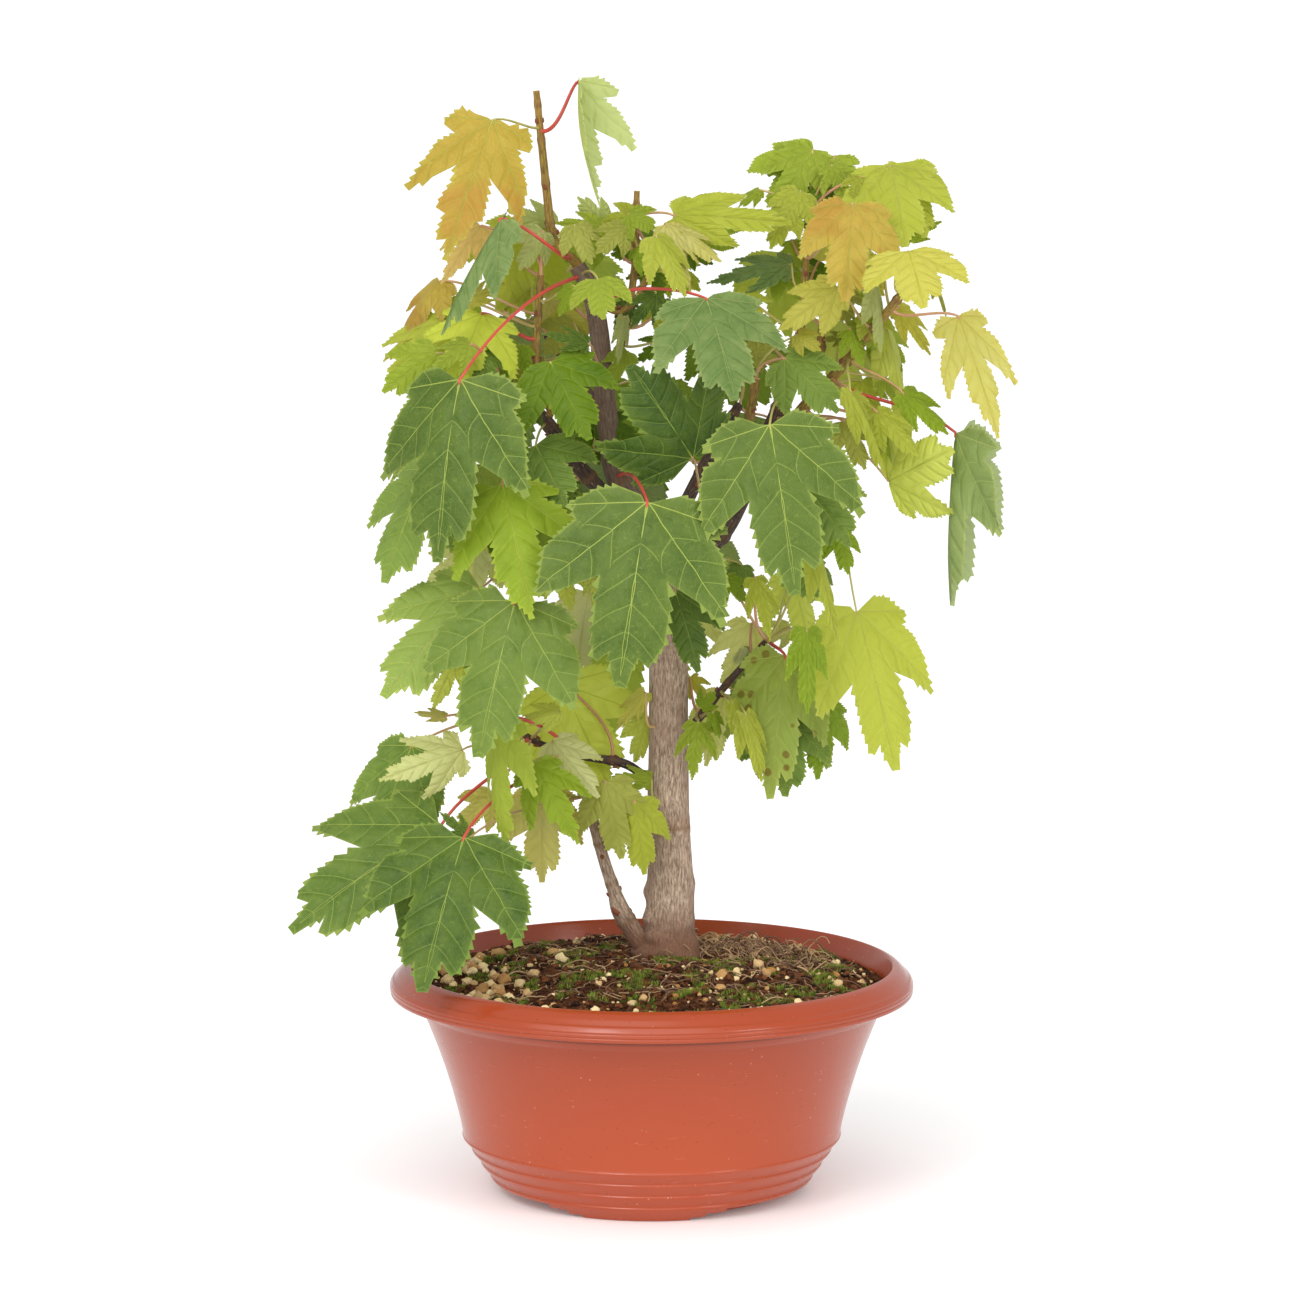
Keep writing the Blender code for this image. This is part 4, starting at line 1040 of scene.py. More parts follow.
# Smaller leaves inside the crown and behind it, which the part leaves out: base, tip, facing,
# look, and width and fold where they are not the usual 1 and 15
INNER_LEAVES = (
    ((-52, -6, 81), (-52, -12, 38), -90, "straw", 0.9, 20),
    ((-22, -20, 88), (-14, -26, 52), -90, "olive", 0.9, 20),
    ((-8, -18, 78), (-3, -24, 44), -80, "bright", 0.9, 20),
    ((-47, -16, 106), (-25, -26, 81), -90, "pale", 0.9, 30),
    ((-97, 8, 303), (-125, -8, 273), -110, "bright", 0.9),
    ((-100, 20, 321), (-116, 10, 295), -130, "bronze", 0.8, 20),
    ((111, 14, 299), (119, 10, 251), -60, "glow", 0.45, 40),
    ((118, -4, 270), (139, -10, 251), -80, "fresh", 0.6, 20),
    ((66, 20, 329), (26, 18, 320), -90, "blue", 0.5, 20),
    ((116, 2, 310), (131, -4, 288), -80, "yellow", 0.5, 25),
    ((-80, 6, 348), (-99, 0, 321), -110, "peach", 0.8),
    ((-87, -16, 313), (-68, -20, 323), -60, "yellow", 0.5, 30),
    ((-57, 22, 346), (-72, 10, 307), -80, "bright", 1.15),
    ((-51, -4, 346), (-62, -8, 328), -70, "sage", 1, 25),
    ((-46, 12, 347), (-68, 8, 355), -100, "sage", 0.8, 20),
    ((-71, 30, 335), (-75, 26, 317), -90, "yellow", 0.9),
    ((-57, 16, 318), (-71, 12, 306), -90, "bright"),
    ((-45, 26, 318), (-52, 24, 301), -70, "straw"),
    ((-111, 22, 296), (-127, 18, 283), -110, "yellow", 0.6, 25),
    ((-100, -18, 290), (-125, -26, 272), -100, "lime", 0.95, 12),
    ((-80, -20, 290), (-72, -26, 273), -80, "mid", 0.9),
    ((-61, 18, 291), (-64, 14, 269), -80, "olive", 1.1),
    ((-71, 26, 288), (-70, 22, 266), -90, "bright", 0.9),
    ((-36, -8, 349), (-28, -16, 331), -75, "olive", 1, 18),
    ((-21, 10, 346), (-45, 4, 349), -85, "lime", 0.6),
    ((-21, 18, 346), (-35, 12, 361), -95, "sage", 0.8),
    ((-5, 14, 352), (-24, 10, 349), -80, "bright", 0.9),
    ((2, -28, 345), (16, -40, 318), -70, "bright", 0.75, 30),
    ((9, -8, 348), (32, -18, 332), -60, "straw", 0.7, 25),
    ((19, 24, 335), (29, 20, 329), -60, "leafy", 1.2),
    ((9, 24, 332), (-23, 18, 338), -90, "leafy", 0.8),
    ((-36, -14, 321), (-43, -20, 307), -110, "fresh", 0.8),
    ((-29, -30, 295), (-51, -34, 300), -80, "deep", 0.55),
    ((-37, 22, 301), (-51, 18, 286), -90, "olive", 1.1),
    ((2, -18, 318), (-10, -26, 302), -80, "deep", 0.75),
    ((-10, 10, 313), (-18, 6, 299), -90, "deep", 0.9),
    ((-13, -6, 306), (-16, -10, 284), -80, "sage", 0.4, 35),
    ((2, 30, 309), (5, 26, 295), -80, "bright", 1.1),
    ((8, 14, 292), (-8, 8, 284), -80, "leafy"),
    ((10, 4, 311), (2, 0, 308), -80, "dark"),
    ((-11, 2, 289), (-21, -4, 274), -80, "lime", 0.9, 20),
    ((-1, 12, 329), (6, 6, 313), -80, "leafy", 1, 18),
    ((7, 30, 329), (23, 26, 316), -70, "bright", 1.1),
    ((-50, 34, 310), (-31, 30, 297), -80, "yellow", 0.9),
    ((-29, 38, 307), (-34, 34, 292), -80, "straw", 0.9),
    ((51, 20, 364), (41, 16, 356), -110, "lime", 0.7, 30),
    ((87, -12, 320), (60, -22, 301), -90, "yellow", 0.75),
    ((72, -2, 314), (89, -6, 315), -80, "yellow", 0.6),
    ((99, 6, 329), (109, 2, 315), -70, "yellow"),
    ((88, 8, 319), (93, 2, 301), -80, "olive"),
    ((96, 20, 319), (104, 16, 309), -70, "lime"),
    ((99, 2, 305), (105, -4, 290), -70, "lime"),
    ((93, -4, 300), (99, -8, 282), -70, "fresh"),
    ((90, 10, 295), (81, 8, 294), -80, "olive", 0.8),
    ((68, -14, 298), (79, -18, 291), -80, "yellow"),
    ((62, -14, 287), (87, -26, 263), -80, "mid"),
    ((105, -8, 321), (107, -14, 290), -50, "sage", 0.5, 35),
    ((66, 26, 340), (70, 22, 326), -80, "lime"),
    ((49, 12, 288), (61, 8, 282), -90, "olive"),
    ((118, 26, 342), (137, 22, 349), -60, "lime", 0.6, 25),
    ((61, 30, 327), (76, 26, 312), -80, "lime", 1.2),
    ((131, 10, 327), (139, 6, 305), -40, "olive", 0.3, 35),
    ((80, 40, 329), (71, 36, 311), -90, "leafy", 1.1),
    ((92, -34, 274), (108, -40, 234), -60, "bright", 0.35, 50),
    ((105, -14, 262), (124, -22, 242), -70, "bright", 0.7, 20),
    ((108, 8, 275), (116, 4, 265), -70, "lime", 0.9),
    ((93, -20, 272), (101, -26, 257), -70, "bright", 0.8),
    ((90, -8, 257), (100, -14, 235), -75, "olive", 0.9, 20),
    ((86, -22, 208), (92, -28, 187), -70, "fresh", 0.9),
    ((92, 12, 256), (106, 8, 246), -70, "lime", 0.9),
    ((48, -46, 188), (55, -52, 159), -80, "bright", 0.6, 25),
    ((48, 26, 157), (34, 22, 123), -100, "pale", 0.85, 12),
    ((72, -52, 164), (72, -60, 126), -80, "fresh", 0.5),
    ((65, 2, 115), (63, -4, 78), -90, "mid", 1.15),
    ((82, 8, 121), (79, 4, 85), -70, "fresh", 0.9, 20),
    ((74, -56, 206), (86, -64, 160), -60, "bright", 0.35, 40),
    ((73, -10, 192), (75, -16, 172), -70, "mid", 1.2),
    ((66, 10, 183), (74, 6, 152), -80, "glow", 0.9),
    ((66, 18, 156), (52, 12, 150), -90, "pale", 0.9, 20),
    ((22, -12, 115), (19, -18, 88), -100, "lime", 0.8, 20),
    ((35, 30, 122), (26, 26, 88), -90, "pale", 0.8),
    ((23, -14, 122), (30, -18, 130), -80, "fresh"),
    ((29, -16, 120), (32, -18, 108), -80, "fresh", 0.7, 25),
    ((38, -22, 126), (45, -26, 102), -70, "bright", 0.4, 30),
    ((44, -24, 121), (52, -28, 89), -70, "bright", 0.5, 25),
    ((18, 24, 131), (27, 22, 120), -80, "yellow"),
    ((51, 22, 145), (52, 18, 103), -80, "soft", 0.75),
    ((35, 6, 181), (45, 4, 170), -80, "fresh", 0.9),
    ((43, 18, 186), (41, 14, 173), -80, "mid", 1.1),
    ((23, 30, 187), (36, 26, 176), -80, "glow", 1.1),
    ((-83, 14, 195), (-106, 10, 173), -100, "pale"),
    ((-81, 18, 194), (-66, 14, 175), -80, "pale"),
    ((-90, -8, 148), (-104, -12, 120), -110, "glow", 0.8),
    ((-97, -14, 118), (-112, -16, 120), -90, "straw", 0.5, 35),
    ((-43, -22, 121), (-61, -30, 118), -80, "glow", 0.8, 30),
    ((-3, 2, 127), (-17, 0, 109), -80, "yellow", 0.5, 25),
    ((-2, 20, 112), (-8, 18, 91), -80, "glow", 0.9),
    ((0, 2, 85), (-20, 0, 87), -80, "lime", 0.7, 20),
    ((-75, -16, 80), (-92, -20, 66), -90, "straw", 1, 20),
    ((-49, 0, 76), (-54, -4, 58), -90, "mid", 1, 20),
    ((-44, 20, 185), (-38, 16, 164), -80, "glow", 1.1),
    ((-27, 14, 182), (-26, 12, 165), -80, "glow", 0.7),
    ((-85, -50, 66), (-99, -48, 78), -90, "mid", 0.7, 20),
    ((-60, 60, 300), (-70, 78, 250), 110, "mid", 1, 12),
    ((-35, 70, 330), (-40, 90, 285), 95, "lime", 1, 12),
    ((40, 62, 300), (48, 84, 250), 70, "leafy", 1, 12),
    ((62, 66, 332), (66, 84, 290), 80, "bright", 1, 12),
    ((-20, 80, 235), (-25, 98, 180), 95, "dark", 1, 12),
    ((60, 60, 240), (66, 82, 190), 70, "lime", 1, 12),
    ((15, 82, 200), (18, 100, 150), 90, "mid", 1, 12),
    ((-50, 60, 215), (-56, 84, 165), 110, "leafy", 1, 12),
    ((85, 40, 300), (96, 62, 255), 50, "bright", 1, 12),
    ((92, 34, 345), (98, 54, 308), 50, "yellow", 1, 12),
    ((-30, 52, 170), (-36, 72, 122), 110, "pale", 1, 12),
    ((-78, 36, 232), (-88, 58, 185), 130, "fresh", 1, 12),
    ((85, 14, 376), (92, 8, 357), -80, "lime"),
    ((70, 10, 364), (60, 4, 344), -95, "bright"),
    ((82, 18, 365), (75, 12, 342), -85, "leafy"),
    ((92, 16, 362), (102, 12, 346), -70, "lime"),
    ((98, 0, 371), (94, -6, 361), -90, "bright", 1.2),
    ((77, 34, 382), (55, 30, 370), -110, "lime"),
    ((23, 34, 343), (12, 30, 329), -90, "lime"),
    ((-25, 34, 341), (-41, 30, 329), -90, "lime"),
    ((50, 26, 297), (42, 22, 278), -90, "olive"),
    ((108, 24, 298), (119, 20, 278), -60, "lime"),
    ((-86, 24, 312), (-100, 20, 298), -110, "lime"),
    ((-96, 10, 256), (-110, 4, 233), -110, "fresh"),
    ((-29, 10, 256), (-43, 4, 233), -90, "leafy"),
    ((-43, 6, 233), (-53, 0, 210), -90, "mid"),
    ((76, 22, 383), (59, 16, 353), -100, "lime"),
    ((87, 24, 380), (87, 20, 347), -85, "lime"),
    ((119, 8, 377), (128, -4, 343), -75, "bright"),
    ((65, 8, 357), (56, 2, 337), -100, "bright", 0.9),
    ((-24, 6, 256), (-6, 2, 247), -80, "leafy"),
    ((110, 14, 252), (120, 8, 232), -70, "lime"),
    ((99, 16, 274), (107, 10, 256), -70, "bright"),
    ((23, 40, 162), (18, 36, 138), -90, "pale"),
    ((-12, -8, 348), (-26, -14, 336), -95, "olive", 0.95),
    ((-11, -6, 354), (2, -12, 347), -80, "lime", 1.2),
    ((-7, -4, 339), (7, -10, 326), -80, "fresh", 0.95),
    ((39, 16, 315), (55, 10, 299), -85, "bright"),
    ((-84, -30, 295), (-103, -36, 282), -110, "lime", 0.9),
    ((-62, -6, 293), (-71, -12, 274), -95, "fresh", 0.9),
    ((23, 26, 342), (46, 22, 349), -90, "lime", 0.8),
    ((85, 30, 356), (73, 24, 337), -90, "olive"),
    ((109, 10, 331), (94, 4, 317), -80, "yellow", 0.9),
    ((102, -2, 308), (109, -8, 290), -75, "bright", 0.9),
    ((-65, -8, 270), (-64, -14, 244), -90, "deep"),
    ((-77, -20, 214), (-92, -24, 193), -100, "leafy", 1.1),
)

RED_STALKS = (
    "leaf_upper_left", "leaf_front", "leaf_upper_centre", "leaf_left_dark_fold", "leaf_left_front",
    "leaf_low_left_front", "leaf_low_left_outer", "leaf_top_pale", "leaf_low_right_spotted",
    "leaf_hanging_lime", "leaf_left_yellow", "leaf_far_right_fold",
)


# Wood

BARKS = {
    "grey": (rgb(112, 88, 72), rgb(206, 182, 158), rgb(150, 118, 98)),
    "dark": (rgb(40, 28, 25), rgb(104, 82, 70), rgb(72, 52, 46)),
    "olive": (rgb(96, 74, 30), rgb(168, 140, 62), rgb(156, 112, 52)),
}


def plant(place):
    """A place on the tree, from (x, y, height) in millimetres."""
    x, y, height = place[:3]
    return Vector((x * MM, y * MM, TREE_FOOT + height * MM))


def plant_point(point):
    return Vector((*plant(point), point[3] * MM))


def along_branch(points, share):
    """Place, direction and radius a share of the way along a branch."""
    spot = share * (len(points) - 1)
    index = min(int(spot), len(points) - 2)
    low, high = points[index], points[index + 1]
    between = low.lerp(high, spot - index)
    return between.xyz, (high.xyz - low.xyz).normalized(), between.w


def way_off(points, share, towards):
    """Where a piece leaves a branch's surface to go towards a place, and the way it sets off."""
    centre, direction, radius = along_branch(points, share)
    if share >= 1 and (towards - centre).normalized().dot(direction) > 0.5:
        return centre, direction
    away = towards - centre
    away = (away - direction * away.dot(direction)).normalized()
    return centre + away * radius, away


def bumps(rng, nodes, uneven, ridge):
    """How a limb's radius swells: slow unevenness and a ridge at each node."""
    offset = Vector((rng.uniform(0, 50), rng.uniform(0, 50), 0))

    def relief(angle, along):
        spot = Vector((math.cos(angle) * 0.7, math.sin(angle) * 0.7, along * 45)) + offset
        swell = noise.noise(spot) * uneven
        for node in nodes:
            swell += ridge * math.exp(-((along - node) / (1.3 * MM)) ** 2)
        return swell

    return relief


# Burrs at the trunk's foot: the way each faces, its height in millimetres and its size
TRUNK_KNOTS = (
    (3.1, 30, 0.17), (3.5, 18, 0.22), (3.9, 9, 0.24), (-0.1, 33, 0.08), (-0.6, 6, 0.14),
    (-1.2, 14, 0.1), (-2, 22, 0.09), (-1.7, 4, 0.16), (1.4, 20, 0.12),
)

# Old ring scars on the trunk: the height in millimetres and the swelling of each
TRUNK_RINGS = ((60, 0.045), (64, 0.03), (146, 0.05), (196, 0.08), (232, 0.07), (268, 0.07))


def trunk_relief(angle, along):
    """The trunk's fluted foot, its low knots, its ring scars and fine ribs."""
    height = along - TRUNK_BURIED
    spot = Vector((math.cos(angle) * 1.2, math.sin(angle) * 1.2, along * 28))
    swell = noise.noise(spot) * 0.05
    swell += 0.10 * math.exp(-max(height, 0) / (9 * MM)) * (1 + 0.9 * math.sin(3 * angle - 1.5))
    collar = math.exp(-((height - 16 * MM) / (2.4 * MM)) ** 2)
    swell += 0.09 * collar * (0.6 + 0.4 * math.sin(2 * angle))
    for ring, size in TRUNK_RINGS:
        swell += size * math.exp(-((height - ring * MM) / (1.3 * MM)) ** 2)
    swell += 0.004 * math.sin(9 * angle + noise.noise(spot * 0.6) * 5)
    for turn, knot, size in TRUNK_KNOTS:
        near = (math.cos(angle - turn) - 1) * 9 - ((height - knot * MM) / (3.6 * MM)) ** 2
        swell += size * math.exp(near)
    return swell


def scar_share(along, nodes):
    """How strongly a place shows the corky ring of a node."""
    return max([math.exp(-((along - node) / (1.1 * MM)) ** 2) for node in nodes] or [0])


def make_limb(name, points, sides, relief, bark, cut, nodes):
    """A limb with grain along it and a clipped, paler end."""
    verts, faces, grain = tube(smooth_path(points, RING_STEP), sides, relief)
    limb = mesh_piece(name, verts, faces, bark, cut)
    write_places(limb.data, "grain", grain)
    write_values(limb.data, "scar", [0.7 * scar_share(place[2], nodes) for place in grain])
    for face in limb.data.polygons[-sides:]:
        face.material_index = 1
    smooth(limb, 50)
    return limb


def bud(place, heading, size):
    """One bud as a pointed egg lying along the limb."""
    path = [Vector((*(place + heading * size * share), size * width))
            for share, width in ((0, 0.2), (0.3, 0.42), (0.7, 0.34), (1.1, 0.1))]
    return tube(path, 6)[:2]


def make_wood(barks, cut):
    """The trunk and its branches. Gives each one's points in metres."""
    rng = random.Random(7)
    slots = {"grey": "bark", "dark": "dark_bark", "olive": "green_bark"}
    grown = {"trunk": [plant_point(point) for point in TRUNK_POINTS]}
    scars = [height * MM + TRUNK_BURIED for height in (61, 64, 197, 233)]
    trunk = make_limb("trunk_bark", grown["trunk"], TRUNK_SIDES, trunk_relief, barks["trunk"],
                      cut, scars)
    keep(trunk, "bark", "trunk")
    bud_shapes = []
    for wood in BRANCHES:
        points = [plant_point(point) for point in wood.points]
        if wood.along:
            radius = points[0].w
            start, away = way_off(grown[wood.parent], wood.along, points[0].xyz)
            inside = Vector((*(start - away * radius * 0.8), radius * 1.25))
            collar = Vector((*(start + away * radius * 1.1), radius * 1.05))
            points = [inside, collar] + points
        grown[wood.name] = points
        length = sum((b.xyz - a.xyz).length for a, b in zip(points, points[1:]))
        nodes = [length * share for share in (0.3, 0.52, 0.74, 0.93)]
        relief = bumps(rng, nodes, 0.12, 0.22 if wood.bark != "grey" else 0.1)
        bark = barks[wood.bark if wood.along else "trunk"]
        limb = make_limb(wood.name + "_bark", points, BRANCH_SIDES, relief, bark, cut, nodes)
        keep(limb, slots[wood.bark], wood.name)
        for share in (0.42, 0.62, 0.84):
            centre, heading, radius = along_branch(points, share)
            lean = Vector((rng.uniform(-1, 1), rng.uniform(-1, 1), 0.2))
            across = heading.cross(lean).normalized()
            for side in (across, -across):
                way = (heading + side * 0.7).normalized()
                bud_shapes.append(bud(centre + side * radius * 0.7, way, 2.6 * MM))
    side_shoot = bud(plant((-15, 2, 20)), Vector((-0.7, -0.3, 0.7)).normalized(), 5 * MM)
    bud_verts, bud_faces = [], []
    for verts, faces in bud_shapes + [side_shoot]:
        bud_faces += shifted(faces, len(bud_verts))
        bud_verts += verts
    buds = mesh_piece("buds", bud_verts, bud_faces, barks["bud"])
    smooth(buds, 60)
    keep(buds, "dark_bark")
    return grown


# Leaves

# The right half of a blade from its stalk to its tip: x across, y along the midrib, and the
# teeth on the way there, which point back where their number is negative.
BLADE_EDGES = {
    "broad": (
        (0.05, -0.02, 0), (0.17, -0.055, 0), (0.30, -0.035, 3), (0.43, 0.05, 4), (0.35, 0.13, -2),
        (0.44, 0.21, 3), (0.50, 0.34, 4), (0.52, 0.59, 5), (0.37, 0.51, -3), (0.19, 0.43, 0),
        (0.21, 0.58, 2), (0.205, 0.74, 3), (0.17, 0.85, 2), (0.09, 0.82, -1), (0.06, 0.92, 2),
        (0, 1, 1),
    ),
    "young": (
        (0.05, -0.01, 0), (0.16, -0.02, 0), (0.28, 0.00, 2), (0.38, 0.09, 3), (0.25, 0.15, -1),
        (0.36, 0.23, 3), (0.43, 0.36, 3), (0.47, 0.61, 4), (0.31, 0.48, -2), (0.13, 0.38, 0),
        (0.155, 0.50, 2), (0.185, 0.65, 3), (0.11, 0.70, -1), (0.115, 0.83, 3), (0.055, 0.85, -1),
        (0, 1, 3),
    ),
}


def toothed_half(edges, rng):
    """Points of half a blade's outline from the stalk to the tip, to the right."""
    points = [Vector((0.015, 0))]
    for x, y, teeth in edges:
        spread = 0.02 if x else 0
        end = Vector((x + rng.uniform(-spread, spread), y + rng.uniform(-spread, spread)))
        start = points[-1]
        run = end - start
        out = Vector((run.y, -run.x)).normalized()
        for tooth in range(abs(teeth)):
            peak = (tooth + (0.84 if teeth > 0 else 0.16)) / abs(teeth)
            depth = min(0.034, 0.5 * run.length / abs(teeth)) * rng.uniform(0.55, 1.2)
            points.append(start + run * peak + out * depth)
            if tooth < abs(teeth) - 1:
                points.append(start + run * (tooth + 1) / abs(teeth))
        points.append(end)
    return points


def lobe_of(x, y):
    """How far along its lobe's vein a blade place is, and how far off it."""
    theta = math.atan2(abs(x), y)
    lobe = (0, LATERAL_ANGLE, BASAL_ANGLE)[sum(theta > split for split in LOBE_SPLITS)]
    reach = math.hypot(x, y)
    return reach * math.cos(theta - lobe), abs(reach * math.sin(theta - lobe))


def well_inside(point, outline):
    """Whether a place is well inside an outline."""
    crossed = False
    for a, b in zip(outline, outline[1:] + outline[:1]):
        if (a.y > point.y) != (b.y > point.y):
            if point.x < a.x + (b.x - a.x) * (point.y - a.y) / (b.y - a.y):
                crossed = not crossed
        share = max(0, min(1, (point - a).dot(b - a) / (b - a).length_squared))
        if (point - a.lerp(b, share)).length < 0.017:
            return False
    return crossed


def flat_blade(edges, seed):
    """A flat blade: its points, of which the first are its outline, and its triangles."""
    rng = random.Random(seed)
    right = toothed_half(edges, rng)
    left = [Vector((-point.x, point.y)) for point in toothed_half(edges, rng)]
    outline = right + left[-2::-1]
    spots = []
    for angle in (0, LATERAL_ANGLE, -LATERAL_ANGLE, BASAL_ANGLE, -BASAL_ANGLE):
        heading = Vector((math.sin(angle), math.cos(angle)))
        spots += [heading * INNER_SPACING * step for step in range(1, 17)]
    for row in range(-2, 20):
        for column in range(-10, 11):
            spot = Vector((column + 0.5 * (row % 2), row * 0.866)) * INNER_SPACING
            if lobe_of(*spot)[1] > 0.4 * INNER_SPACING:
                spots.append(spot)
    spots = [spot for spot in spots if well_inside(spot, outline)]
    order = list(range(len(outline)))
    edges = list(zip(order, order[1:] + order[:1]))
    points, _, faces, *_ = delaunay_2d_cdt(outline + spots, edges, [order], 1, 1e-7)
    return [point.copy() for point in points], [tuple(face) for face in faces], len(outline)


def blade_relief(point, wave):
    """How far a blade stands off its smooth bend: puffed between veins, rippled at its edge."""
    x, y = point
    along, off = lobe_of(x, y)
    puff = 0.012 * min(off / 0.07, 1)
    ripple = 0.022 * math.sin(9 * math.atan2(x, y + 0.15) + wave) * min(1, along * along * 2)
    droop = -0.12 * max(0, abs(x) - 0.15) ** 1.5
    return puff + ripple + droop


def bent(point, relief, length, fold, arch):
    """Fold a flat blade place down from the midrib and arch the midrib."""
    x, y = point
    across = x * math.cos(fold)
    down = relief - abs(x) * math.sin(fold)
    angle = arch * y / length
    reach = length * math.sin(angle) / arch
    sink = length * (1 - math.cos(angle)) / arch
    return Vector((across, reach + down * math.sin(angle), down * math.cos(angle) - sink))


def leaf_turn(base, tip, facing, arch):
    """Turn that sets a bent blade between its base and tip with its upper face outwards."""
    chord = (tip - base).normalized()
    look = Vector((math.cos(facing), math.sin(facing), LEAF_LIFT))
    up = (look - chord * look.dot(chord)).normalized()
    turn = Matrix((chord.cross(up), chord, up)).transposed()
    return turn @ Matrix.Rotation(arch / 2, 3, "X")


def stalk_path(root, away, base, into, radius):
    """The stalk's curve from the twig to just inside the blade."""
    foot = root + away * 1.5 * MM
    span = (base - foot).length
    rise = Vector((0, 0, STALK_RISE * span))
    first = foot + away * STALK_REACH * span + rise / 2
    last = base - (base - foot) * STALK_REACH + rise
    path = [Vector((*(root - away * 0.5 * MM), radius * 1.7))]
    for step in range(STALK_STEPS + 1):
        t = step / STALK_STEPS
        rest = 1 - t
        spot = (foot * rest ** 3 + first * 3 * rest * rest * t + last * 3 * rest * t * t
                + base * t ** 3)
        path.append(Vector((*spot, radius * (1.25 - 0.35 * t))))
    path.append(Vector((*(base + into), radius * 0.5)))
    return path


def set_blade(leaf, flat, wave):
    """A blade's points once it is bent and set in place, and the way into it from its base."""
    base, tip = plant(leaf.base), plant(leaf.tip)
    arch, fold = math.radians(leaf.arch), math.radians(leaf.fold)
    length = (tip - base).length * (arch / 2) / math.sin(arch / 2)
    turn = leaf_turn(base, tip, math.radians(leaf.facing), arch)
    points = []
    for x, y in flat:
        place = (x * length * leaf.width, y * length)
        relief = blade_relief((x, y), wave) * length
        points.append(base + turn @ bent(place, relief, length, fold, arch))
    return points, turn @ Vector((0, 0.03, 0)) * length


def thickened(middle, triangles, rim):
    """A thin closed shell round a surface whose first points are its rim."""
    normals = [Vector() for _ in middle]
    for a, b, c in triangles:
        normal = (middle[b] - middle[a]).cross(middle[c] - middle[a])
        for index in (a, b, c):
            normals[index] += normal
    half = LEAF_THICKNESS / 2
    verts = [place + normal.normalized() * half for place, normal in zip(middle, normals)]
    verts += [place - normal.normalized() * half for place, normal in zip(middle, normals)]
    count = len(middle)
    faces = triangles + [(c + count, b + count, a + count) for a, b, c in triangles]
    for here in range(rim):
        there = (here + 1) % rim
        faces.append((here, here + count, there + count, there))
    return verts, faces


def make_leaf(leaf, points, finish, stalk, variants, number, nodes):
    """One leaf: a thin blade with an upper and an under face, and its stalk."""
    rng = random.Random(100 + number)
    flat, triangles, rim = variants[number % len(variants)]
    middle, into = set_blade(leaf, flat, rng.uniform(0, 6))
    verts, faces = thickened(middle, triangles, rim)
    blade_faces = len(faces)
    base = plant(leaf.base)
    root, away = way_off(points, leaf.along, base)
    redness = 1 if leaf.name in RED_STALKS else rng.uniform(0, 0.55)
    path = stalk_path(root, away, base, into, STALK_RADIUS * (0.8 + 0.4 * redness))
    stalk_verts, stalk_faces, _ = tube(path, STALK_SIDES)
    faces += shifted(stalk_faces, len(verts))
    piece = mesh_piece(leaf.name + "_blade", verts + stalk_verts, faces, finish, stalk)
    mesh = piece.data
    for face in mesh.polygons[blade_faces:]:
        face.material_index = 1
    count = len(middle)
    on_stalk = [0] * len(stalk_verts)
    write_values(mesh, "shade", [rng.random()] * len(verts) + [redness] * len(stalk_verts))
    write_values(mesh, "below", [0] * count + [1] * count + on_stalk)
    write_values(mesh, "edge", ([1] * rim + [0] * (count - rim)) * 2 + on_stalk)
    flat_map = [((x + MAP_LEFT) / MAP_SPAN, (y + MAP_LOW) / MAP_SPAN) for x, y in flat] * 2
    flat_map += [(0.5, 0.1)] * len(stalk_verts)
    uv = mesh.uv_layers.new(name="blade")
    for loop in mesh.loops:
        uv.data[loop.index].uv = flat_map[loop.vertex_index]
    smooth(piece, 60)
    keep(piece, LOOKS[leaf.look].slot, *nodes)


def nearest_wood(grown, base):
    """The branch nearest to just under a leaf's base, and how far along it the stalk starts."""
    low = base - Vector((0, 0, STALK_CLIMB))
    ways = [
        ((along_branch(points, step / 20)[0] - low).length, name, step / 20)
        for name, points in grown.items() for step in range(7, 21)
    ]
    return min(ways)[1:]


def inner_leaves(grown):
    """The leaves that the part leaves out, each on the branch nearest to it."""
    rng = random.Random(31)
    leaves = []
    for number, row in enumerate(INNER_LEAVES):
        leaf = InnerLeaf(*row)
        twig, along = nearest_wood(grown, plant(leaf.base))
        shape = rng.choice(("broad", "broad", "young"))
        arch = rng.uniform(12, 26)
        leaves.append(Leaf(f"inner_leaf_{number + 1}", twig, along, leaf.base, leaf.tip,
                           leaf.facing, leaf.width, leaf.fold, arch, leaf.look, shape))
    return leaves


def make_leaves(grown):
    finishes = {name: leaf_finish(look) for name, look in LOOKS.items()}
    stalk = stalk_finish()
    blades = {
        shape: [flat_blade(edges, seed) for seed in range(BLADE_VARIANTS)]
        for shape, edges in BLADE_EDGES.items()
    }
    leaves = [Leaf("leaf_" + name, *rest) for name, *rest in LEAVES] + inner_leaves(grown)
    for number, leaf in enumerate(leaves):
        nodes = [leaf.name] if number < len(LEAVES) else []
        make_leaf(leaf, grown[leaf.twig], finishes[leaf.look], stalk, blades[leaf.shape], number,
                  nodes)


# Surroundings

def floor_finish():
    """Near-white, and just bright enough of its own to stay white far out."""
    paint = Paint("white_floor", 0.6)
    paint.set("Base Color", (0.95, 0.95, 0.95, 1))
    paint.set("Emission Color", (1, 1, 1, 1))
    paint.set("Emission Strength", 0.1)
    return paint.material


def make_floor():
    bpy.ops.object.select_all(action="DESELECT")
    bpy.ops.mesh.primitive_plane_add(size=900, location=(0, 0, 0))
    floor = bpy.context.active_object
    floor.name = "floor"
    floor.data.materials.append(floor_finish())


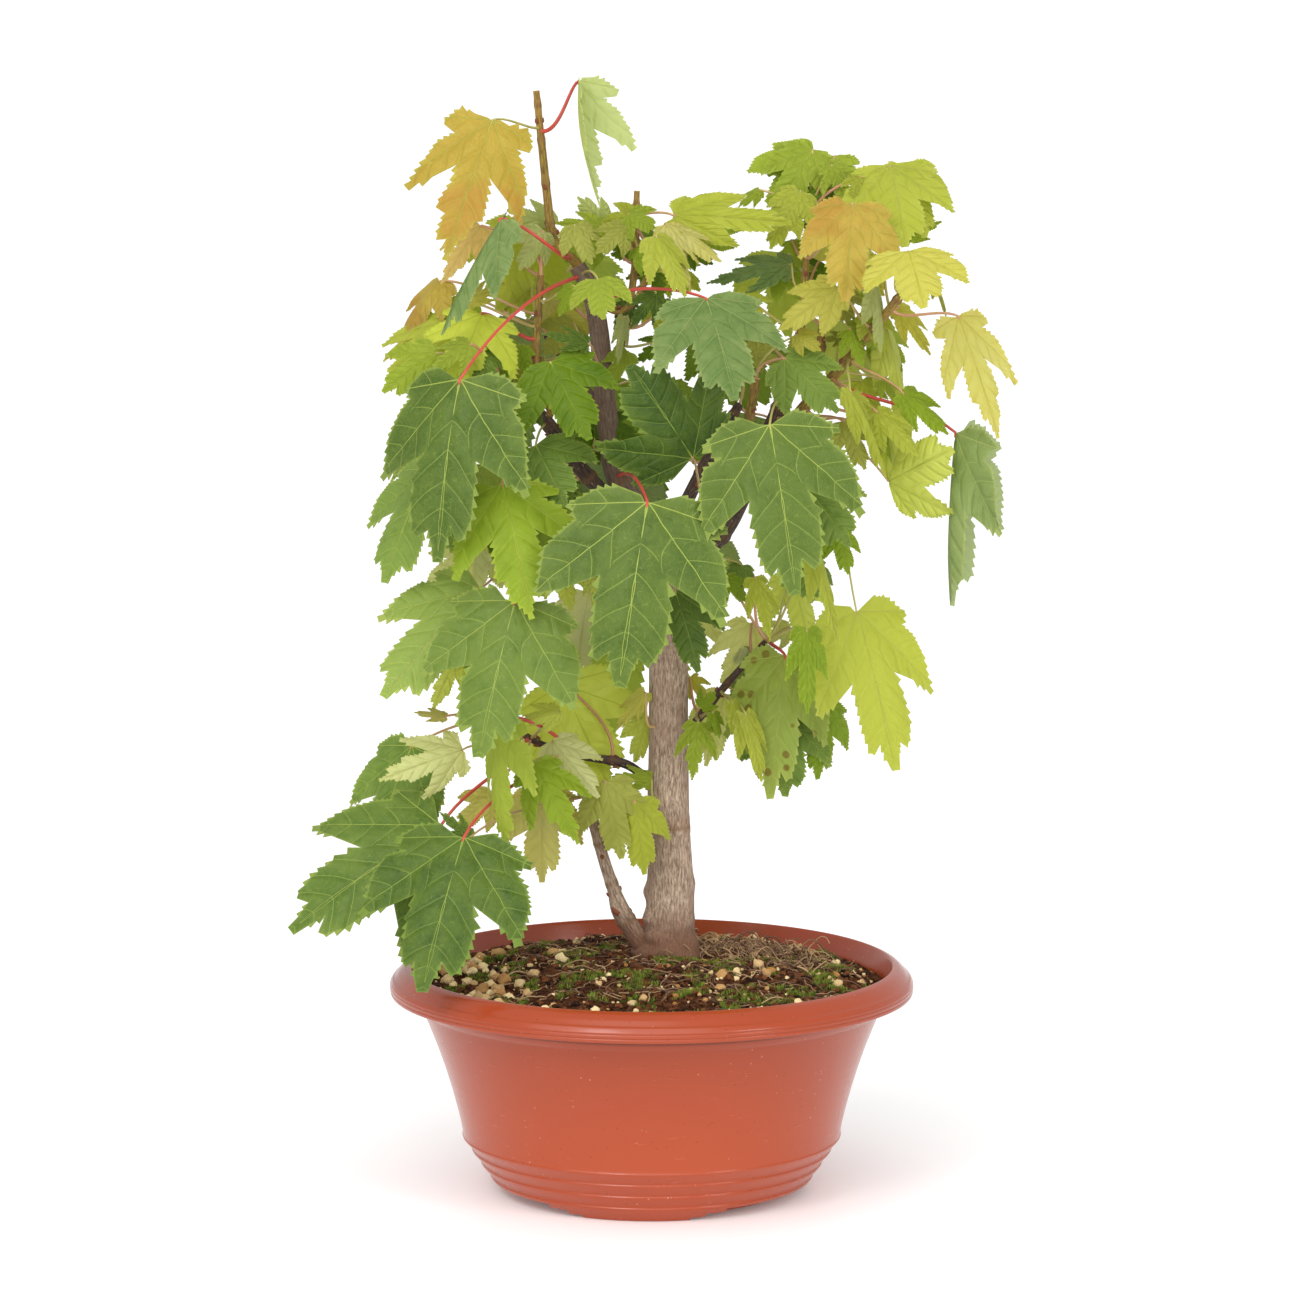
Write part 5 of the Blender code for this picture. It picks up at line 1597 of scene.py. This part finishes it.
def soft_light(name, kind, place, power):
    """A broad light that faces the middle of the tree."""
    data = bpy.data.lights.new(name, kind)
    if kind == "SUN":
        data.angle = math.radians(70)
    else:
        data.shape = "DISK"
        data.size = 0.7
    data.energy = power
    light = bpy.data.objects.new(name, data)
    light.location = place
    heading = Vector((0, 0, 0.25)) - light.location
    light.rotation_euler = heading.to_track_quat("-Z", "Y").to_euler()
    bpy.context.scene.collection.objects.link(light)


def set_studio():
    """Even light from all round, a broad soft sun from the upper left and two soft lamps."""
    world = bpy.data.worlds.new("studio")
    world.use_nodes = True
    background = world.node_tree.nodes["Background"]
    background.inputs["Color"].default_value = (1, 1, 1, 1)
    background.inputs["Strength"].default_value = 0.8
    bpy.context.scene.world = world
    bpy.context.scene.view_settings.view_transform = "Standard"
    soft_light("sun", "SUN", (-0.55, -2.0, 1.9), 1.75)
    soft_light("key", "AREA", (-0.8, -1.8, 1.6), 9)
    soft_light("fill", "AREA", (1.5, -1.5, 1.0), 10)
    camera = bpy.data.objects.new("camera", bpy.data.cameras.new("camera"))
    camera.data.lens = CAMERA_LENS
    camera.location = CAMERA_PLACE
    camera.rotation_euler = (CAMERA_TILT, 0, 0)
    bpy.context.scene.collection.objects.link(camera)
    bpy.context.scene.camera = camera


def main():
    make_bowl(plastic_finish())
    make_soil(soil_finish())
    make_grit(grit_finish("brown_grit", rgb(10, 6, 5), rgb(112, 66, 36)),
              grit_finish("cream_pebbles", rgb(166, 116, 60), rgb(240, 216, 164)))
    make_moss(moss_finish())
    make_roots(root_finish())
    barks = {name: bark_finish(name + "_bark", *tones, 1) for name, tones in BARKS.items()}
    barks["trunk"] = bark_finish("trunk_bark", *BARKS["grey"], 1, rgb(84, 62, 52),
                                 rgb(104, 62, 38))
    barks["bud"] = bark_finish("bud_scales", rgb(96, 52, 38), rgb(150, 84, 50),
                               rgb(120, 66, 44), 0.3)
    make_leaves(make_wood(barks, cut_finish()))
    make_floor()
    set_studio()
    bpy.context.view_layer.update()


main()
